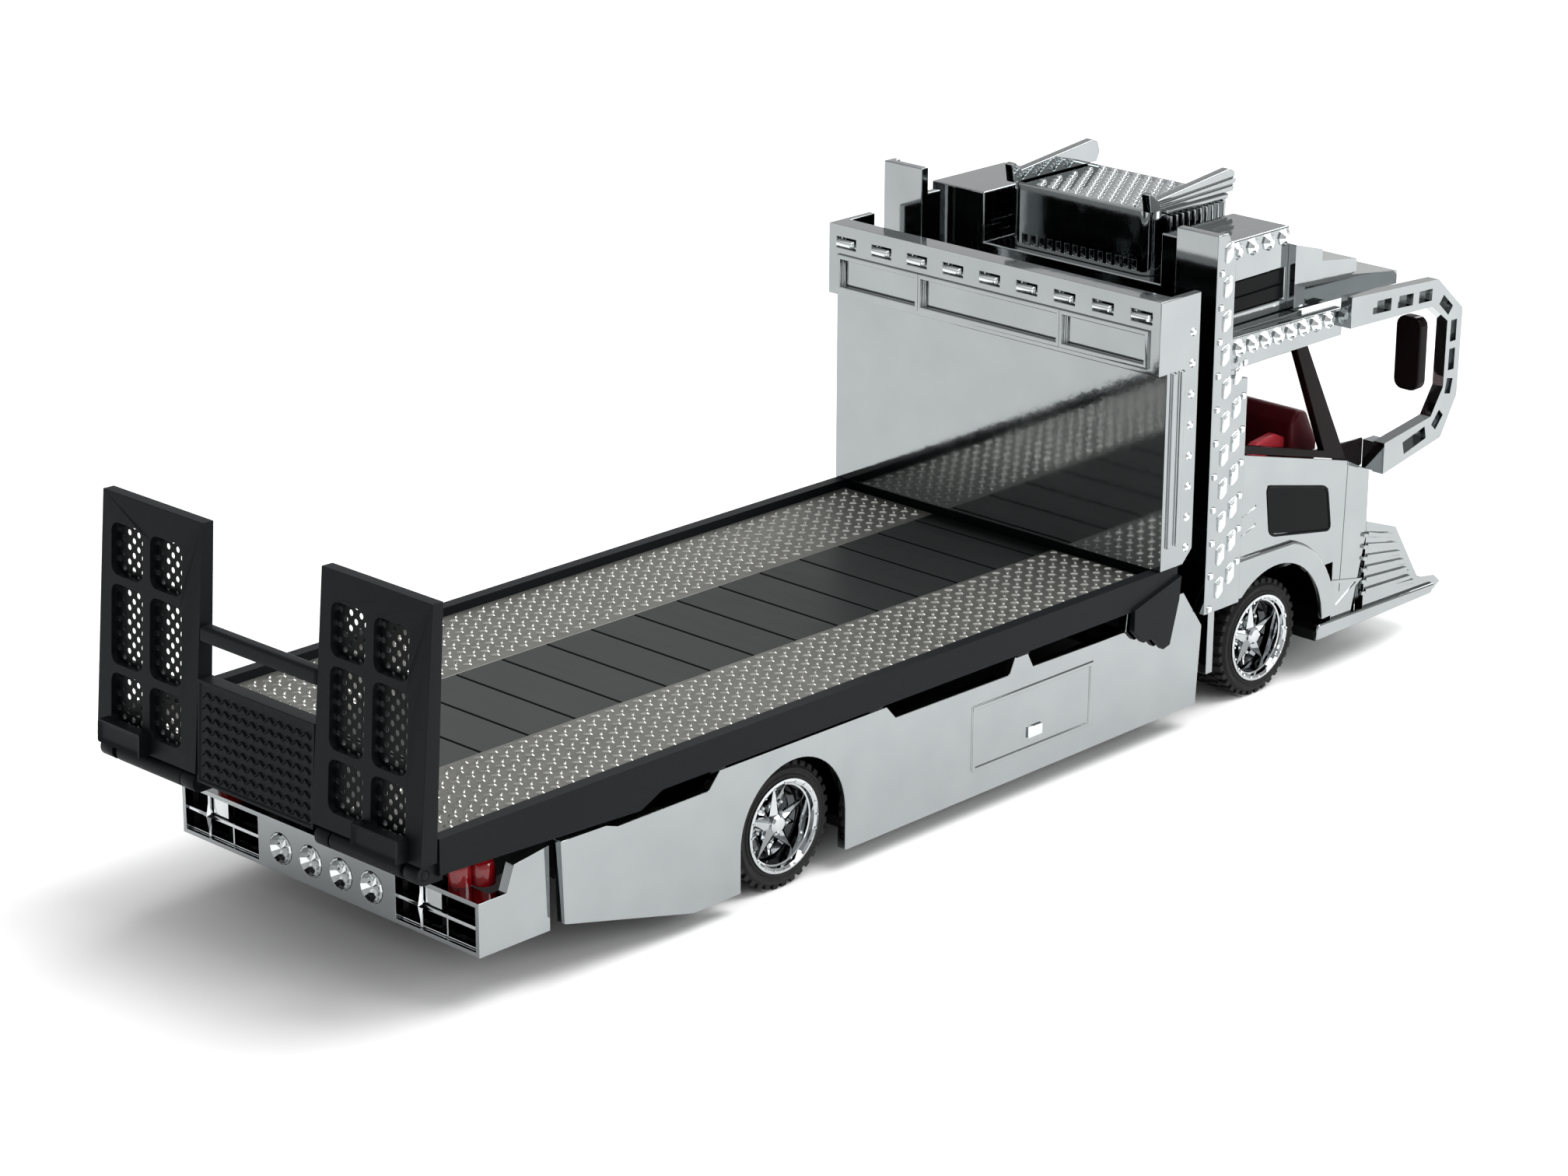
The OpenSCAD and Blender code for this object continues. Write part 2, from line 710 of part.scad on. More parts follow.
module floor_plate(y_from, y_to) {
  block([deck_rear + 0.02, y_from, floor_bottom], [board_x - 0.02, y_to, deck_z]);
}

module track() {
  color("#6f706c")
    floor_plate(plank_half_w + fit_gap, half_w - rail_w - fit_gap);
}

module deck_planks() {
  color("#343a3c")
    difference() {
      floor_plate(-plank_half_w, plank_half_w);
      for (x = [deck_rear + plank_pitch - 0.1:plank_pitch:board_x - 1])
        block([x - groove_w / 2, -plank_half_w - 1, deck_z - 0.3], [x + groove_w / 2, plank_half_w + 1, deck_z + 1]);
    }
}

module headboard() {
  band_low = board_top - band_h;
  band_x = board_x - band_proud;
  panels = [[8.6, 17.4], [-7.7, 7.7], [-17.4, -8.6]];
  cheek = [[board_x, rail_top + 0.02], [board_x + cheek_l - 1.2, rail_top + 0.02], [board_x + cheek_l, rail_top + 1.2],
    [board_x + cheek_l, board_top], [board_x, board_top]];
  color("#c3c8ca")
    difference() {
      union() {
        block([board_x, -half_w + 0.6, rail_top + 0.02], [board_x + 1, half_w - 0.6, board_top]);
        block([band_x, -half_w - 0.1, band_low], [board_x + 1, half_w + 0.1, board_top]);
        both_sides() {
          side_plate(cheek, half_w - 0.6, 0.7);
          // ribs down the cheeks
          for (x = [board_x + 0.6, board_x + 1.7])
            block([x, half_w, rail_top + 2], [x + 0.5, half_w + 0.35, board_top - band_h]);
        }
      }
      for (p = panels)
        block([band_x - 1, p[0] * half_w / 19, band_low + 0.8], [band_x + 0.35, p[1] * half_w / 19, band_low + 3.5]);
      // pockets for the oblong lamps
      for (y = band_places())
        block([band_x - 1, y - 1.15, board_top - 2.1], [band_x + 0.35, y + 1.15, board_top - 1.1]);
    }
}

function band_places() = [for (i = [0:1:band_lamps - 1]) (i - (band_lamps - 1) / 2) * (2 * half_w - 4) / (band_lamps - 1)];

module band_lamp_strip() {
  band_x = board_x - band_proud;
  color("#dfe4e6")
    for (y = band_places())
      block([band_x - 0.1, y - 1.05, board_top - 2], [band_x + 0.33, y + 1.05, board_top - 1.2]);
}

module ramp_hinge_pins() {
  color("#2a2c2e")
    both_sides()
      y_pin(hinge_x, hinge_z, hinge_pin_r, pin_from, pin_to);
}

// ---- ramps, built upright about the hinge and then leaned forward ----

module at_hinge() {
  translate([hinge_x, 0, hinge_z])
    rotate([0, ramp_lean, 0])
      children();
}

module ramp_leaf() {
  half_t = ramp_t / 2;
  color("#14171a")
    difference() {
      union() {
        at_hinge() {
          difference() {
            block([-half_t, ramp_gap_half, barrel_r + 0.1], [half_t, leaf_out, ramp_l]);
            // bevelled tip
            side_plate([[-half_t - 1, ramp_l + 1], [-half_t + 0.55, ramp_l + 1], [-half_t + 0.55, ramp_l],
              [-half_t, ramp_l - tip_h], [-half_t - 1, ramp_l - tip_h]], ramp_gap_half - 1, leaf_w + 2);
            for (row = window_rows)
              for (col = [0, 1])
                window_cut(ramp_gap_half + stile + col * (window_w + mid_bar), row[0], row[1] * ramp_l);
          }
          // flat hinge foot that stands out to the rear
          block([-half_t - foot_h, 12.4 * half_w / 19, barrel_r + 0.1], [-half_t + 0.1, 17.6 * half_w / 19, barrel_r + 2]);
        }
        // hinge barrel between the two knuckles of the bed
        side_cut(pin_from + deck_lug_w + 0.1, pin_to - pin_from - 2 * deck_lug_w - 0.2)
          union() {
            translate([hinge_x, hinge_z])
              circle(r = barrel_r);
            translate([hinge_x, hinge_z])
              rotate(-ramp_lean)
                translate([-barrel_r, 0])
                  square([2 * barrel_r, barrel_r + 0.4]);
          }
      }
      y_pin(hinge_x, hinge_z, hinge_pin_r + run_gap, 0, half_w + 1);
    }
}

// the space of one window through the leaf
module window_cut(y, z, h) {
  block([-2, y, z], [2, y + window_w, z + h]);
}

module ramp_mesh() {
  at_hinge()
    color("#1d2023")
      for (row = window_rows)
        for (col = [0, 1])
          block([0.1, ramp_gap_half + stile + col * (window_w + mid_bar) + fit_gap, row[0] + fit_gap],
            [0.1 + mesh_t, ramp_gap_half + stile + col * (window_w + mid_bar) + window_w - fit_gap,
              row[0] + row[1] * ramp_l - fit_gap]);
}

module ramp_panel() {
  color("#15181b")
    at_hinge()
      block([-ramp_t / 2, -ramp_gap_half + fit_gap, 0.3], [ramp_t / 2, ramp_gap_half - fit_gap, panel_h]);
}

module ramp_bar() {
  color("#14171a")
    at_hinge()
      block([-0.6, -ramp_gap_half + fit_gap, 11.5], [0.6, ramp_gap_half - fit_gap, 12.8]);
}

// ---- one line per piece ----

place() chassis_base();
place() frame_rails();
place() axle_blocks();
place() base_screws();
place() tilt_pin();
place() skirt();  // skirt_left
place() mirror([0, 1, 0]) skirt();  // skirt_right
place() storage_handles();
place() rear_bumper();
place() lamp_cells();
place() round_tail_lamps();
place() red_side_lamps();
place() cab_shell();
place() window_frames();
place() windscreen();
place() low_door_windows();
place() seats();
place() dashboard();
place() steering_wheel();
place() corner_column();  // corner_column_left
place() mirror([0, 1, 0]) corner_column();  // corner_column_right
place() roof_beam();  // roof_beam_left
place() mirror([0, 1, 0]) roof_beam();  // roof_beam_right
place() beam_rosettes();
place() roof_platform();
place() platform_rosettes();
place() roof_visor();
place() roof_box();
place() roof_box_fins();
place() mirror_arm();  // mirror_arm_left
place() mirror([0, 1, 0]) mirror_arm();  // mirror_arm_right
place() door_mirror();  // mirror_left
place() mirror([0, 1, 0]) door_mirror();  // mirror_right
place() front_bumper();
place() grille();
place() headlamps();
place() axle(rear_axle_x);  // rear_axle
place() axle(front_axle_x);  // front_axle
place() rim(rear_axle_x);  // rear_rim_left
place() mirror([0, 1, 0]) rim(rear_axle_x);  // rear_rim_right
place() rim(front_axle_x);  // front_rim_left
place() mirror([0, 1, 0]) rim(front_axle_x);  // front_rim_right
place() tyre(rear_axle_x);  // rear_tyre_left
place() mirror([0, 1, 0]) tyre(rear_axle_x);  // rear_tyre_right
place() tyre(front_axle_x);  // front_tyre_left
place() mirror([0, 1, 0]) tyre(front_axle_x);  // front_tyre_right
place() bed_frame();
place() track();  // track_left
place() mirror([0, 1, 0]) track();  // track_right
place() deck_planks();
place() headboard();
place() band_lamp_strip();
place() ramp_hinge_pins();
place() ramp_leaf();  // ramp_left
place() mirror([0, 1, 0]) ramp_leaf();  // ramp_right
place() ramp_mesh();  // ramp_mesh_left
place() mirror([0, 1, 0]) ramp_mesh();  // ramp_mesh_right
place() ramp_panel();
place() ramp_bar();
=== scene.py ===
import math
import json
import bpy
from mathutils import Matrix, Vector


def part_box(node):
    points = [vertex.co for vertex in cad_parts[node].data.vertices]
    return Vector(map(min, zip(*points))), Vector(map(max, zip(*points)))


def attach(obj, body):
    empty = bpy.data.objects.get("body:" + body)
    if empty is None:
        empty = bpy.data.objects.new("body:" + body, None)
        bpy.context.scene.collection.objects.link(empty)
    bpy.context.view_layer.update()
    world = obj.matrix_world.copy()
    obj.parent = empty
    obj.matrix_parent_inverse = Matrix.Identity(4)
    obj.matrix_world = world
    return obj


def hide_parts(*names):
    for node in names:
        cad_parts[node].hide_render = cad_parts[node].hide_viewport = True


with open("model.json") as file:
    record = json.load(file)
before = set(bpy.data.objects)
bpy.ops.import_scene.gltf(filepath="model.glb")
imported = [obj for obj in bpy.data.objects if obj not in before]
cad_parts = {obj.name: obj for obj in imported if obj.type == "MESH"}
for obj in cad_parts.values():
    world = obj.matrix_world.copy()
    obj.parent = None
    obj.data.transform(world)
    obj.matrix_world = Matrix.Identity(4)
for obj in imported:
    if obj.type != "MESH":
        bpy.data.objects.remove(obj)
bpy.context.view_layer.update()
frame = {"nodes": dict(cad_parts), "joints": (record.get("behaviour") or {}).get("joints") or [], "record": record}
nodes = frame["nodes"]
mm = 0.001                                          # sizes below are in millimetres
selectModes = {"VERT": (True, False, False), "EDGE": (False, True, False), "FACE": (False, False, True)}


class Signal:
    # a wrapped socket: sums written with it add Math nodes to its shader
    def __init__(self, shader, socket):
        self.shader = shader
        self.socket = socket

    def maths(self, operation, other, swapped=False):
        first, second = (other, self) if swapped else (self, other)
        return self.shader.make("ShaderNodeMath", {"operation": operation}, {0: first, 1: second})

    def __add__(self, other):
        return self.maths("ADD", other)

    def __radd__(self, other):
        return self.maths("ADD", other, swapped=True)

    def __sub__(self, other):
        return self.maths("SUBTRACT", other)

    def __rsub__(self, other):
        return self.maths("SUBTRACT", other, swapped=True)

    def __mul__(self, other):
        return self.maths("MULTIPLY", other)

    def __rmul__(self, other):
        return self.maths("MULTIPLY", other, swapped=True)


class Shader:
    def __init__(self, name, owner=None, coordinates="Object"):
        self.owner = owner or bpy.data.materials.new(name)
        self.owner.use_nodes = True
        self.tree = self.owner.node_tree
        self.tree.nodes.clear()
        self.place = self.make("ShaderNodeTexCoord", output=coordinates)

    def make(self, kind, settings=None, inputs=None, output=0):
        node = self.tree.nodes.new(kind)
        for key, value in (settings or {}).items():
            if key == "stops":
                # grey levels, added before the ramp's own white end
                stops = node.color_ramp.elements
                for count, (position, level) in enumerate(value):
                    stop = stops.new(position) if count else stops[0]
                    stop.position = position
                    stop.color = (level, level, level, 1)
            else:
                setattr(node, key, value)
        for key, value in (inputs or {}).items():
            if isinstance(value, Signal):
                self.tree.links.new(value.socket, node.inputs[key])
            else:
                node.inputs[key].default_value = value
        return Signal(self, node.outputs[output]) if node.outputs else None

    def noise(self, perMetre, detail=3.0, stretch=(1, 1, 1)):
        spread = self.make("ShaderNodeMapping", inputs={"Vector": self.place, "Scale": stretch})
        return self.make("ShaderNodeTexNoise", inputs={"Vector": spread, "Scale": perMetre, "Detail": detail})

    def blend(self, mask, dark, light):
        mixed = {"Factor": mask, 6: (*dark, 1), 7: (*light, 1)}
        return self.make("ShaderNodeMix", {"data_type": "RGBA"}, mixed, output=2)

    def bump(self, height, strength, reach=0.0001):
        return self.make("ShaderNodeBump", inputs={"Height": height, "Strength": strength, "Distance": reach})

    def finish(self, sockets):
        surface = self.make("ShaderNodeBsdfPrincipled", inputs=sockets)
        self.make("ShaderNodeOutputMaterial", inputs={"Surface": surface})
        return self.owner


def platedFinish(name, dark, light, sheen):
    # vacuum plating: near mirror, with faint smudges and a little ripple from the mould
    shader = Shader(name)
    smudge = shader.noise(220, 4)
    ripple = shader.noise(900, 2)
    return shader.finish({
        "Base Color": shader.blend(smudge, dark, light), "Metallic": 1.0,
        "Roughness": sheen + 0.07 * smudge, "Normal": shader.bump(ripple, 0.035)})


def facetFinish(name, light):
    # cut reflector facets, brighter than the plating round them
    shader = Shader(name)
    haze = shader.noise(1500, 2)
    return shader.finish({
        "Base Color": shader.blend(haze, [c * 0.86 for c in light], light), "Metallic": 1.0,
        "Roughness": 0.04 + 0.05 * haze})


def trackFinish(name, dark, light):
    # dull steel sheet, rolled along the bed, a little warmer in patches
    shader = Shader(name)
    rolled = shader.noise(1100, 4, (0.25, 1, 1))
    patches = shader.noise(90, 3)
    return shader.finish({
        "Base Color": shader.blend(0.6 * rolled + 0.4 * patches, dark, light), "Metallic": 0.75,
        "Roughness": 0.36 + 0.2 * rolled, "Normal": shader.bump(rolled, 0.15)})


def dashFinish(name, dark, light):
    # the dashes are rubbed brighter in places
    shader = Shader(name)
    rub = shader.noise(700, 3)
    return shader.finish({
        "Base Color": shader.blend(rub, dark, light), "Metallic": 0.9, "Roughness": 0.24 + 0.14 * rub})


def plankFinish(name, frontBlack, rampEndGrey):
    # satin black boards, greyer towards the ramp end
    shader = Shader(name)
    along = shader.make("ShaderNodeSeparateXYZ", inputs={"Vector": shader.place})
    grain = shader.noise(900, 3, (1, 0.15, 1))
    uneven = 0.2 * (shader.noise(120, 3) - 0.5)
    # a gradient along the deck, greyer towards the ramp end
    greyTowardsRamp = shader.make("ShaderNodeClamp", inputs={"Value": 0.35 - along * 11.0 + uneven})
    return shader.finish({
        "Base Color": shader.blend(greyTowardsRamp, frontBlack, rampEndGrey), "Roughness": 0.28 + 0.12 * grain,
        "Normal": shader.bump(grain, 0.05), "Specular IOR Level": 0.12})


def paintFinish(name, dark, light, rough, peelDepth):
    # sprayed paint with a fine orange peel, slightly greyer where it is handled
    shader = Shader(name)
    peel = shader.noise(5200, 2)
    handled = shader.noise(140, 4)
    return shader.finish({
        "Base Color": shader.blend(handled, dark, light), "Roughness": rough + 0.16 * handled,
        "Normal": shader.bump(peel, peelDepth), "Specular IOR Level": 0.1})


def mouldedFinish(name, dark, light, rough, gloss):
    # moulded plastic with faint flow marks
    shader = Shader(name)
    flow = shader.noise(260, 3)
    return shader.finish({
        "Base Color": shader.blend(flow, dark, light), "Roughness": rough + 0.08 * flow,
        "Specular IOR Level": gloss})


def glazingFinish(name, tint, alpha):
    shader = Shader(name)
    dust = shader.noise(300, 4)
    return shader.finish({
        "Base Color": shader.blend(dust, [c * 0.9 for c in tint], tint), "Roughness": 0.03 + 0.05 * dust,
        "Alpha": alpha, "Specular IOR Level": 0.7})


def rubberFinish(name, clean, dusty):
    shader = Shader(name)
    grain = shader.noise(3800, 4)
    dust = shader.noise(420, 4)
    return shader.finish({
        "Base Color": shader.blend(dust, clean, dusty), "Specular IOR Level": 0.25,
        "Roughness": 0.6 + 0.25 * grain, "Normal": shader.bump(grain, 0.3)})


finishes = {
    "bright_plating": platedFinish("brightPlating", (0.29, 0.31, 0.315), (0.36, 0.38, 0.385), 0.03),
    "wheel_plating": platedFinish("wheelPlating", (0.42, 0.44, 0.45), (0.6, 0.62, 0.63), 0.015),
    # the plating of the wheel dish, painted near black as shade inside the wheel
    "painted_shade_plating": platedFinish("shadedPlating", (0.04, 0.043, 0.046), (0.11, 0.115, 0.12), 0.08),
    "tread_plating": platedFinish("treadPlating", (0.28, 0.3, 0.305), (0.37, 0.39, 0.395), 0.05),
    "lamp_reflector": facetFinish("lampReflector", (0.72, 0.75, 0.76)),
    "track_plate": trackFinish("trackPlate", (0.1, 0.1, 0.092), (0.18, 0.178, 0.164)),
    "plank_black": plankFinish("plankBlack", (0.0012, 0.0014, 0.0016), (0.03, 0.033, 0.033)),
    "black_paint": paintFinish("blackPaint", (0.0022, 0.0032, 0.004), (0.0045, 0.006, 0.0072), 0.36, 0.1),
    "black_mesh": paintFinish("blackMesh", (0.002, 0.0025, 0.003), (0.005, 0.0055, 0.006), 0.4, 0.1),
    "dark_chassis": paintFinish("darkChassis", (0.003, 0.0035, 0.004), (0.008, 0.0085, 0.009), 0.5, 0.2),
    "steel_pins": platedFinish("steelPins", (0.4, 0.41, 0.42), (0.55, 0.56, 0.57), 0.2),
    "dark_trim": mouldedFinish("darkTrim", (0.0016, 0.0013, 0.0014), (0.006, 0.0025, 0.003), 0.12, 0.06),
    "dark_glazing": mouldedFinish("darkGlazing", (0.0008, 0.001, 0.0013), (0.002, 0.0026, 0.003), 0.08, 0.05),
    "clear_glazing": glazingFinish("clearGlazing", (0.75, 0.79, 0.8), 0.16),
    "red_interior": mouldedFinish("redInterior", (0.3, 0.01, 0.02), (0.48, 0.026, 0.04), 0.26, 0.4),
    "red_lens": mouldedFinish("redLens", (0.16, 0.002, 0.005), (0.3, 0.006, 0.01), 0.06, 0.6),
    # the cab lining: the interior's red painted darker, as shade inside the cab
    "painted_shade_lining": mouldedFinish("interiorLining", (0.05, 0.003, 0.006), (0.11, 0.008, 0.013), 0.35, 0.2),
    "tyre_rubber": rubberFinish("tyreRubber", (0.0035, 0.0035, 0.004), (0.014, 0.014, 0.0135)),
    "bright_dashes": dashFinish("brightDashes", (0.3, 0.3, 0.28), (0.6, 0.6, 0.57))}
print("finishes made:", len(finishes))


def deselect():
    if bpy.context.mode != "OBJECT":
        bpy.ops.object.mode_set(mode="OBJECT")
    bpy.ops.object.select_all(action="DESELECT")


def grab(piece):
    deselect()
    piece.hide_set(False)
    piece.select_set(True)
    bpy.context.view_layer.objects.active = piece
    return piece


def settle(piece, name):
    grab(piece)
    bpy.ops.object.transform_apply(location=True, rotation=True, scale=True)
    piece.name = name
    piece.data.name = name
    return piece


def choose(piece, kind, test):
    # opens the piece in edit mode with only the points, edges or faces that pass the test
    grab(piece)
    bpy.context.tool_settings.mesh_select_mode = selectModes[kind]
    mesh = piece.data
    for group in (mesh.vertices, mesh.edges, mesh.polygons):
        group.foreach_set("select", [False] * len(group))
    corner = [v.co / mm for v in mesh.vertices]
    if kind == "FACE":
        for face in mesh.polygons:
            face.select = bool(test(face.center / mm, face.normal))
    elif kind == "EDGE":
        for edge in mesh.edges:
            edge.select = bool(test(corner[edge.vertices[0]], corner[edge.vertices[1]]))
    else:
        for vertex, place in zip(mesh.vertices, corner):
            vertex.select = bool(test(place))
    bpy.ops.object.mode_set(mode="EDIT")


def facing(axis, sign=1):
    # a test for choose: the faces that look along an axis
    index = "xyz".index(axis)
    return lambda at, normal: normal[index] * sign > 0.9


def everything(piece):
    grab(piece)
    bpy.ops.object.mode_set(mode="EDIT")
    bpy.ops.mesh.select_all(action="SELECT")


def leave():
    bpy.ops.object.mode_set(mode="OBJECT")


def faceOutwards(piece):
    everything(piece)
    bpy.ops.mesh.normals_make_consistent(inside=False)
    leave()
    return piece


def drawIn(piece, test, scale):
    # the chosen faces shrink about their middle
    choose(piece, "FACE", test)
    bpy.ops.transform.resize(value=scale)
    leave()


def recess(piece, test, *steps):
    # the chosen faces are inset step by step, each step a width and a depth
    choose(piece, "FACE", test)
    for width, depth in steps:
        bpy.ops.mesh.inset(thickness=width * mm, depth=depth * mm)
    leave()


def cutCorners(piece, test, width, segments):
    choose(piece, "EDGE", test)
    bpy.ops.mesh.bevel(offset=width * mm, segments=segments)
    leave()


def pull(piece, test, step):
    # the chosen points move together
    choose(piece, "VERT", test)
    bpy.ops.transform.translate(value=Vector(step) * mm)
    leave()


def modify(piece, kind, **settings):
    grab(piece)
    modifier = piece.modifiers.new(kind.lower(), kind)
    for key, value in settings.items():
        setattr(modifier, key, value)
    bpy.ops.object.modifier_apply(modifier=modifier.name)


def roundEdges(piece, width, segments=2, sharp=32):
    modify(piece, "BEVEL", width=width * mm, segments=segments, limit_method="ANGLE",
           angle_limit=math.radians(sharp), use_clamp_overlap=True, harden_normals=False)


def smooth(piece, angle=34):
    grab(piece)
    bpy.ops.object.shade_smooth_by_angle(angle=math.radians(angle))
    # the broad flats keep their own normals, so a plated panel mirrors without bending
    modify(piece, "WEIGHTED_NORMAL", keep_sharp=True)


def addBox(name, low, high):
    low, high = Vector(low), Vector(high)
    deselect()
    bpy.ops.mesh.primitive_cube_add(size=1, location=(low + high) / 2 * mm)
    bpy.context.object.scale = (high - low) * mm
    return settle(bpy.context.object, name)


def addPlate(name, outline, low, high):
    # an outline in the XZ plane, drawn point by point, filled and pulled from y low to y high
    deselect()
    start = Vector((outline[0][0], low, outline[0][1]))
    bpy.ops.mesh.primitive_plane_add(size=mm, location=start * mm)
    plate = settle(bpy.context.object, name)
    bpy.context.tool_settings.mesh_select_mode = selectModes["VERT"]
    everything(plate)
    bpy.ops.mesh.merge(type="CENTER")
    for (fromX, fromZ), (toX, toZ) in zip(outline, outline[1:]):
        step = ((toX - fromX) * mm, 0, (toZ - fromZ) * mm)
        bpy.ops.mesh.extrude_region_move(TRANSFORM_OT_translate={"value": step})
    bpy.ops.mesh.select_all(action="SELECT")
    bpy.ops.mesh.edge_face_add()
    bpy.ops.mesh.extrude_region_move(TRANSFORM_OT_translate={"value": (0, (high - low) * mm, 0)})
    return faceOutwards(plate)


def turned(name, rings, sides, openStart=False, openEnd=False):
    # a profile of (radius, height) rings, pulled ring by ring about Z
    deselect()
    radius, height = rings[0]
    bpy.ops.mesh.primitive_circle_add(vertices=sides, radius=radius * mm, location=(0, 0, height * mm))
    piece = settle(bpy.context.object, name)
    bpy.context.tool_settings.mesh_select_mode = selectModes["VERT"]
    everything(piece)
    if not openStart:
        bpy.ops.mesh.edge_face_add()
    for (fromR, fromH), (toR, toH) in zip(rings, rings[1:]):
        bpy.ops.mesh.extrude_region_move(TRANSFORM_OT_translate={"value": (0, 0, (toH - fromH) * mm)})
        bpy.ops.transform.resize(value=(toR / fromR, toR / fromR, 1))
    if openEnd:
        bpy.ops.mesh.delete(type="ONLY_FACE")
    return faceOutwards(piece)


def turnAbout(axis, degrees):
    return Matrix.Rotation(math.radians(degrees), 4, axis)


def moved(piece, place, turn=Matrix.Identity(4)):
    # the mesh is turned about the origin and then carried to its place
    piece.data.transform(Matrix.Translation(Vector(place) * mm) @ turn)
    return piece


def copied(piece, name, matrix):
    # a copy with its own mesh, placed by moving the mesh
    twin = piece.copy()
    twin.data = piece.data.copy()
    bpy.context.scene.collection.objects.link(twin)
    twin.data.transform(matrix)
    twin.name = name
    return faceOutwards(twin) if matrix.determinant() < 0 else twin


def joined(pieces, name):
    deselect()
    for piece in pieces:
        piece.select_set(True)
    bpy.context.view_layer.objects.active = pieces[0]
    if len(pieces) > 1:
        bpy.ops.object.join()
    pieces[0].name = name
    return pieces[0]


def scattered(pattern, name, places):
    # places are (x, y, z) or (x, y, z, matrix); the pattern itself is used up
    copies = []
    for spot in places:
        turn = spot[3] if len(spot) > 3 else Matrix.Identity(4)
        copies.append(copied(pattern, name, Matrix.Translation(Vector(spot[:3]) * mm) @ turn))
    bpy.data.objects.remove(pattern)
    return joined(copies, name)


def arrayed(piece, count, step):
    modify(piece, "ARRAY", count=count, use_relative_offset=False, use_constant_offset=True,
           constant_offset_displace=Vector(step) * mm)


def mirrored(piece, name):
    return copied(piece, name, Matrix.Scale(-1, 4, (0, 1, 0)))


def bothSides(piece, name):
    return joined([piece, mirrored(piece, "otherSide")], name)


def carve(piece, cutters):
    for cutter in cutters:
        modify(piece, "BOOLEAN", operation="DIFFERENCE", solver="EXACT", object=cutter)
        bpy.data.objects.remove(cutter)


def slotOutline(start, end, wide):
    # the corners of a straight slot of one width between two points in the XZ plane
    (x0, z0), (x1, z1) = start, end
    run = Vector((x1 - x0, z1 - z0)).normalized() * wide / 2
    return [(x0 - run.y, z0 + run.x), (x1 - run.y, z1 + run.x),
            (x1 + run.y, z1 - run.x), (x0 + run.y, z0 - run.x)]


def dress(piece, finish, body, replaced=()):
    piece.data.materials.clear()
    piece.data.materials.append(finishes[finish])
    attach(piece, body)
    if replaced:
        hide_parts(*replaced)
    return piece


def span(node):
    low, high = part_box(node)
    return low / mm, high / mm


def freshCopy(node, name):
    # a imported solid's mesh as clean faces: doubles merged and flat triangles joined
    piece = nodes[node].copy()
    piece.data = nodes[node].data.copy()
    for key in list(piece.keys()):
        if key.startswith("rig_"):
            del piece[key]
    piece.parent = None
    bpy.context.scene.collection.objects.link(piece)
    everything(piece)
    bpy.ops.mesh.remove_doubles(threshold=0.002 * mm)
    bpy.ops.mesh.dissolve_limited(angle_limit=math.radians(0.5))
    leave()
    piece.name = name
    return piece


def softCopy(node, name, finish, width, segments):
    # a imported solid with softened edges, which then stands for its node
    piece = freshCopy(node, name)
    roundEdges(piece, width, segments)
    smooth(piece)
    return dress(piece, finish, ridesOn[node], replaced=[node])


bodies = frame["record"]["behaviour"]["bodies"]
ridesOn = {node: body for body, members in bodies.items() for node in members}
sides = (("left", 1), ("right", -1))
leftTurn, rightTurn = turnAbout("X", -90), turnAbout("X", 90)
outwards = ((1, leftTurn), (-1, rightTurn))         # a lathe piece that then faces out on each side
rearward, forward = turnAbout("Y", -90), turnAbout("Y", 90)

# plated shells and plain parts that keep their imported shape
softened = {                                        # node: (finish, edge width in mm, segments)
    "skirt_left": ("bright_plating", 0.12, 2), "skirt_right": ("bright_plating", 0.12, 2),
    "roof_beam_left": ("bright_plating", 0.14, 2), "roof_beam_right": ("bright_plating", 0.14, 2),
    "roof_visor": ("bright_plating", 0.3, 4), "roof_platform": ("bright_plating", 0.14, 2),
    "front_bumper": ("bright_plating", 0.2, 3), "grille": ("bright_plating", 0.12, 2),
    "storage_handles": ("lamp_reflector", 0.06, 2), "frame_rails": ("dark_chassis", 0.1, 1),
    "chassis_base": ("dark_chassis", 0.15, 2), "axle_blocks": ("dark_chassis", 0.12, 1),
    "base_screws": ("steel_pins", 0.05, 1), "tilt_pin": ("steel_pins", 0.06, 2),
    "ramp_hinge_pins": ("black_paint", 0.05, 2), "rear_axle": ("steel_pins", 0.1, 2),
    "front_axle": ("steel_pins", 0.1, 2), "window_frames": ("dark_trim", 0.06, 2),
    "windscreen": ("clear_glazing", 0.08, 2), "dashboard": ("red_interior", 0.3, 3),
    "deck_planks": ("plank_black", 0.05, 2), "bed_frame": ("black_paint", 0.1, 2)}
for node, (finish, width, segments) in softened.items():
    softCopy(node, node + "_shell", finish, width, segments)
print("softened shells:", len(softened))

# deck: tread tracks of crossed dashes with a plain border, and the sill under the headboard
tread = {"long": 0.78, "wide": 0.3, "high": 0.13, "root": 0.02, "top": (0.66, 0.4, 1), "corner": 0.08,
         "turn": 45, "pitchX": 1.54, "pitchY": 1.22, "border": 0.35, "edge": 0.06}
sill = {"rear": 2.25, "front": 3.3, "half": 18.3, "under": 0.8, "over": 0.6, "edge": 0.15}


def makeDash(turn):
    # one raised dash: a block whose top is drawn in and whose corners are cut
    halfLong, halfWide = tread["long"] / 2, tread["wide"] / 2
    dash = addBox("dash", (-halfLong, -halfWide, -tread["root"]), (halfLong, halfWide, tread["high"]))
    drawIn(dash, facing("z"), tread["top"])
    cutCorners(dash, lambda a, b: abs(a.z - b.z) > 0.05, tread["corner"], 1)
    return moved(dash, (0, 0, 0), turnAbout("Z", turn))


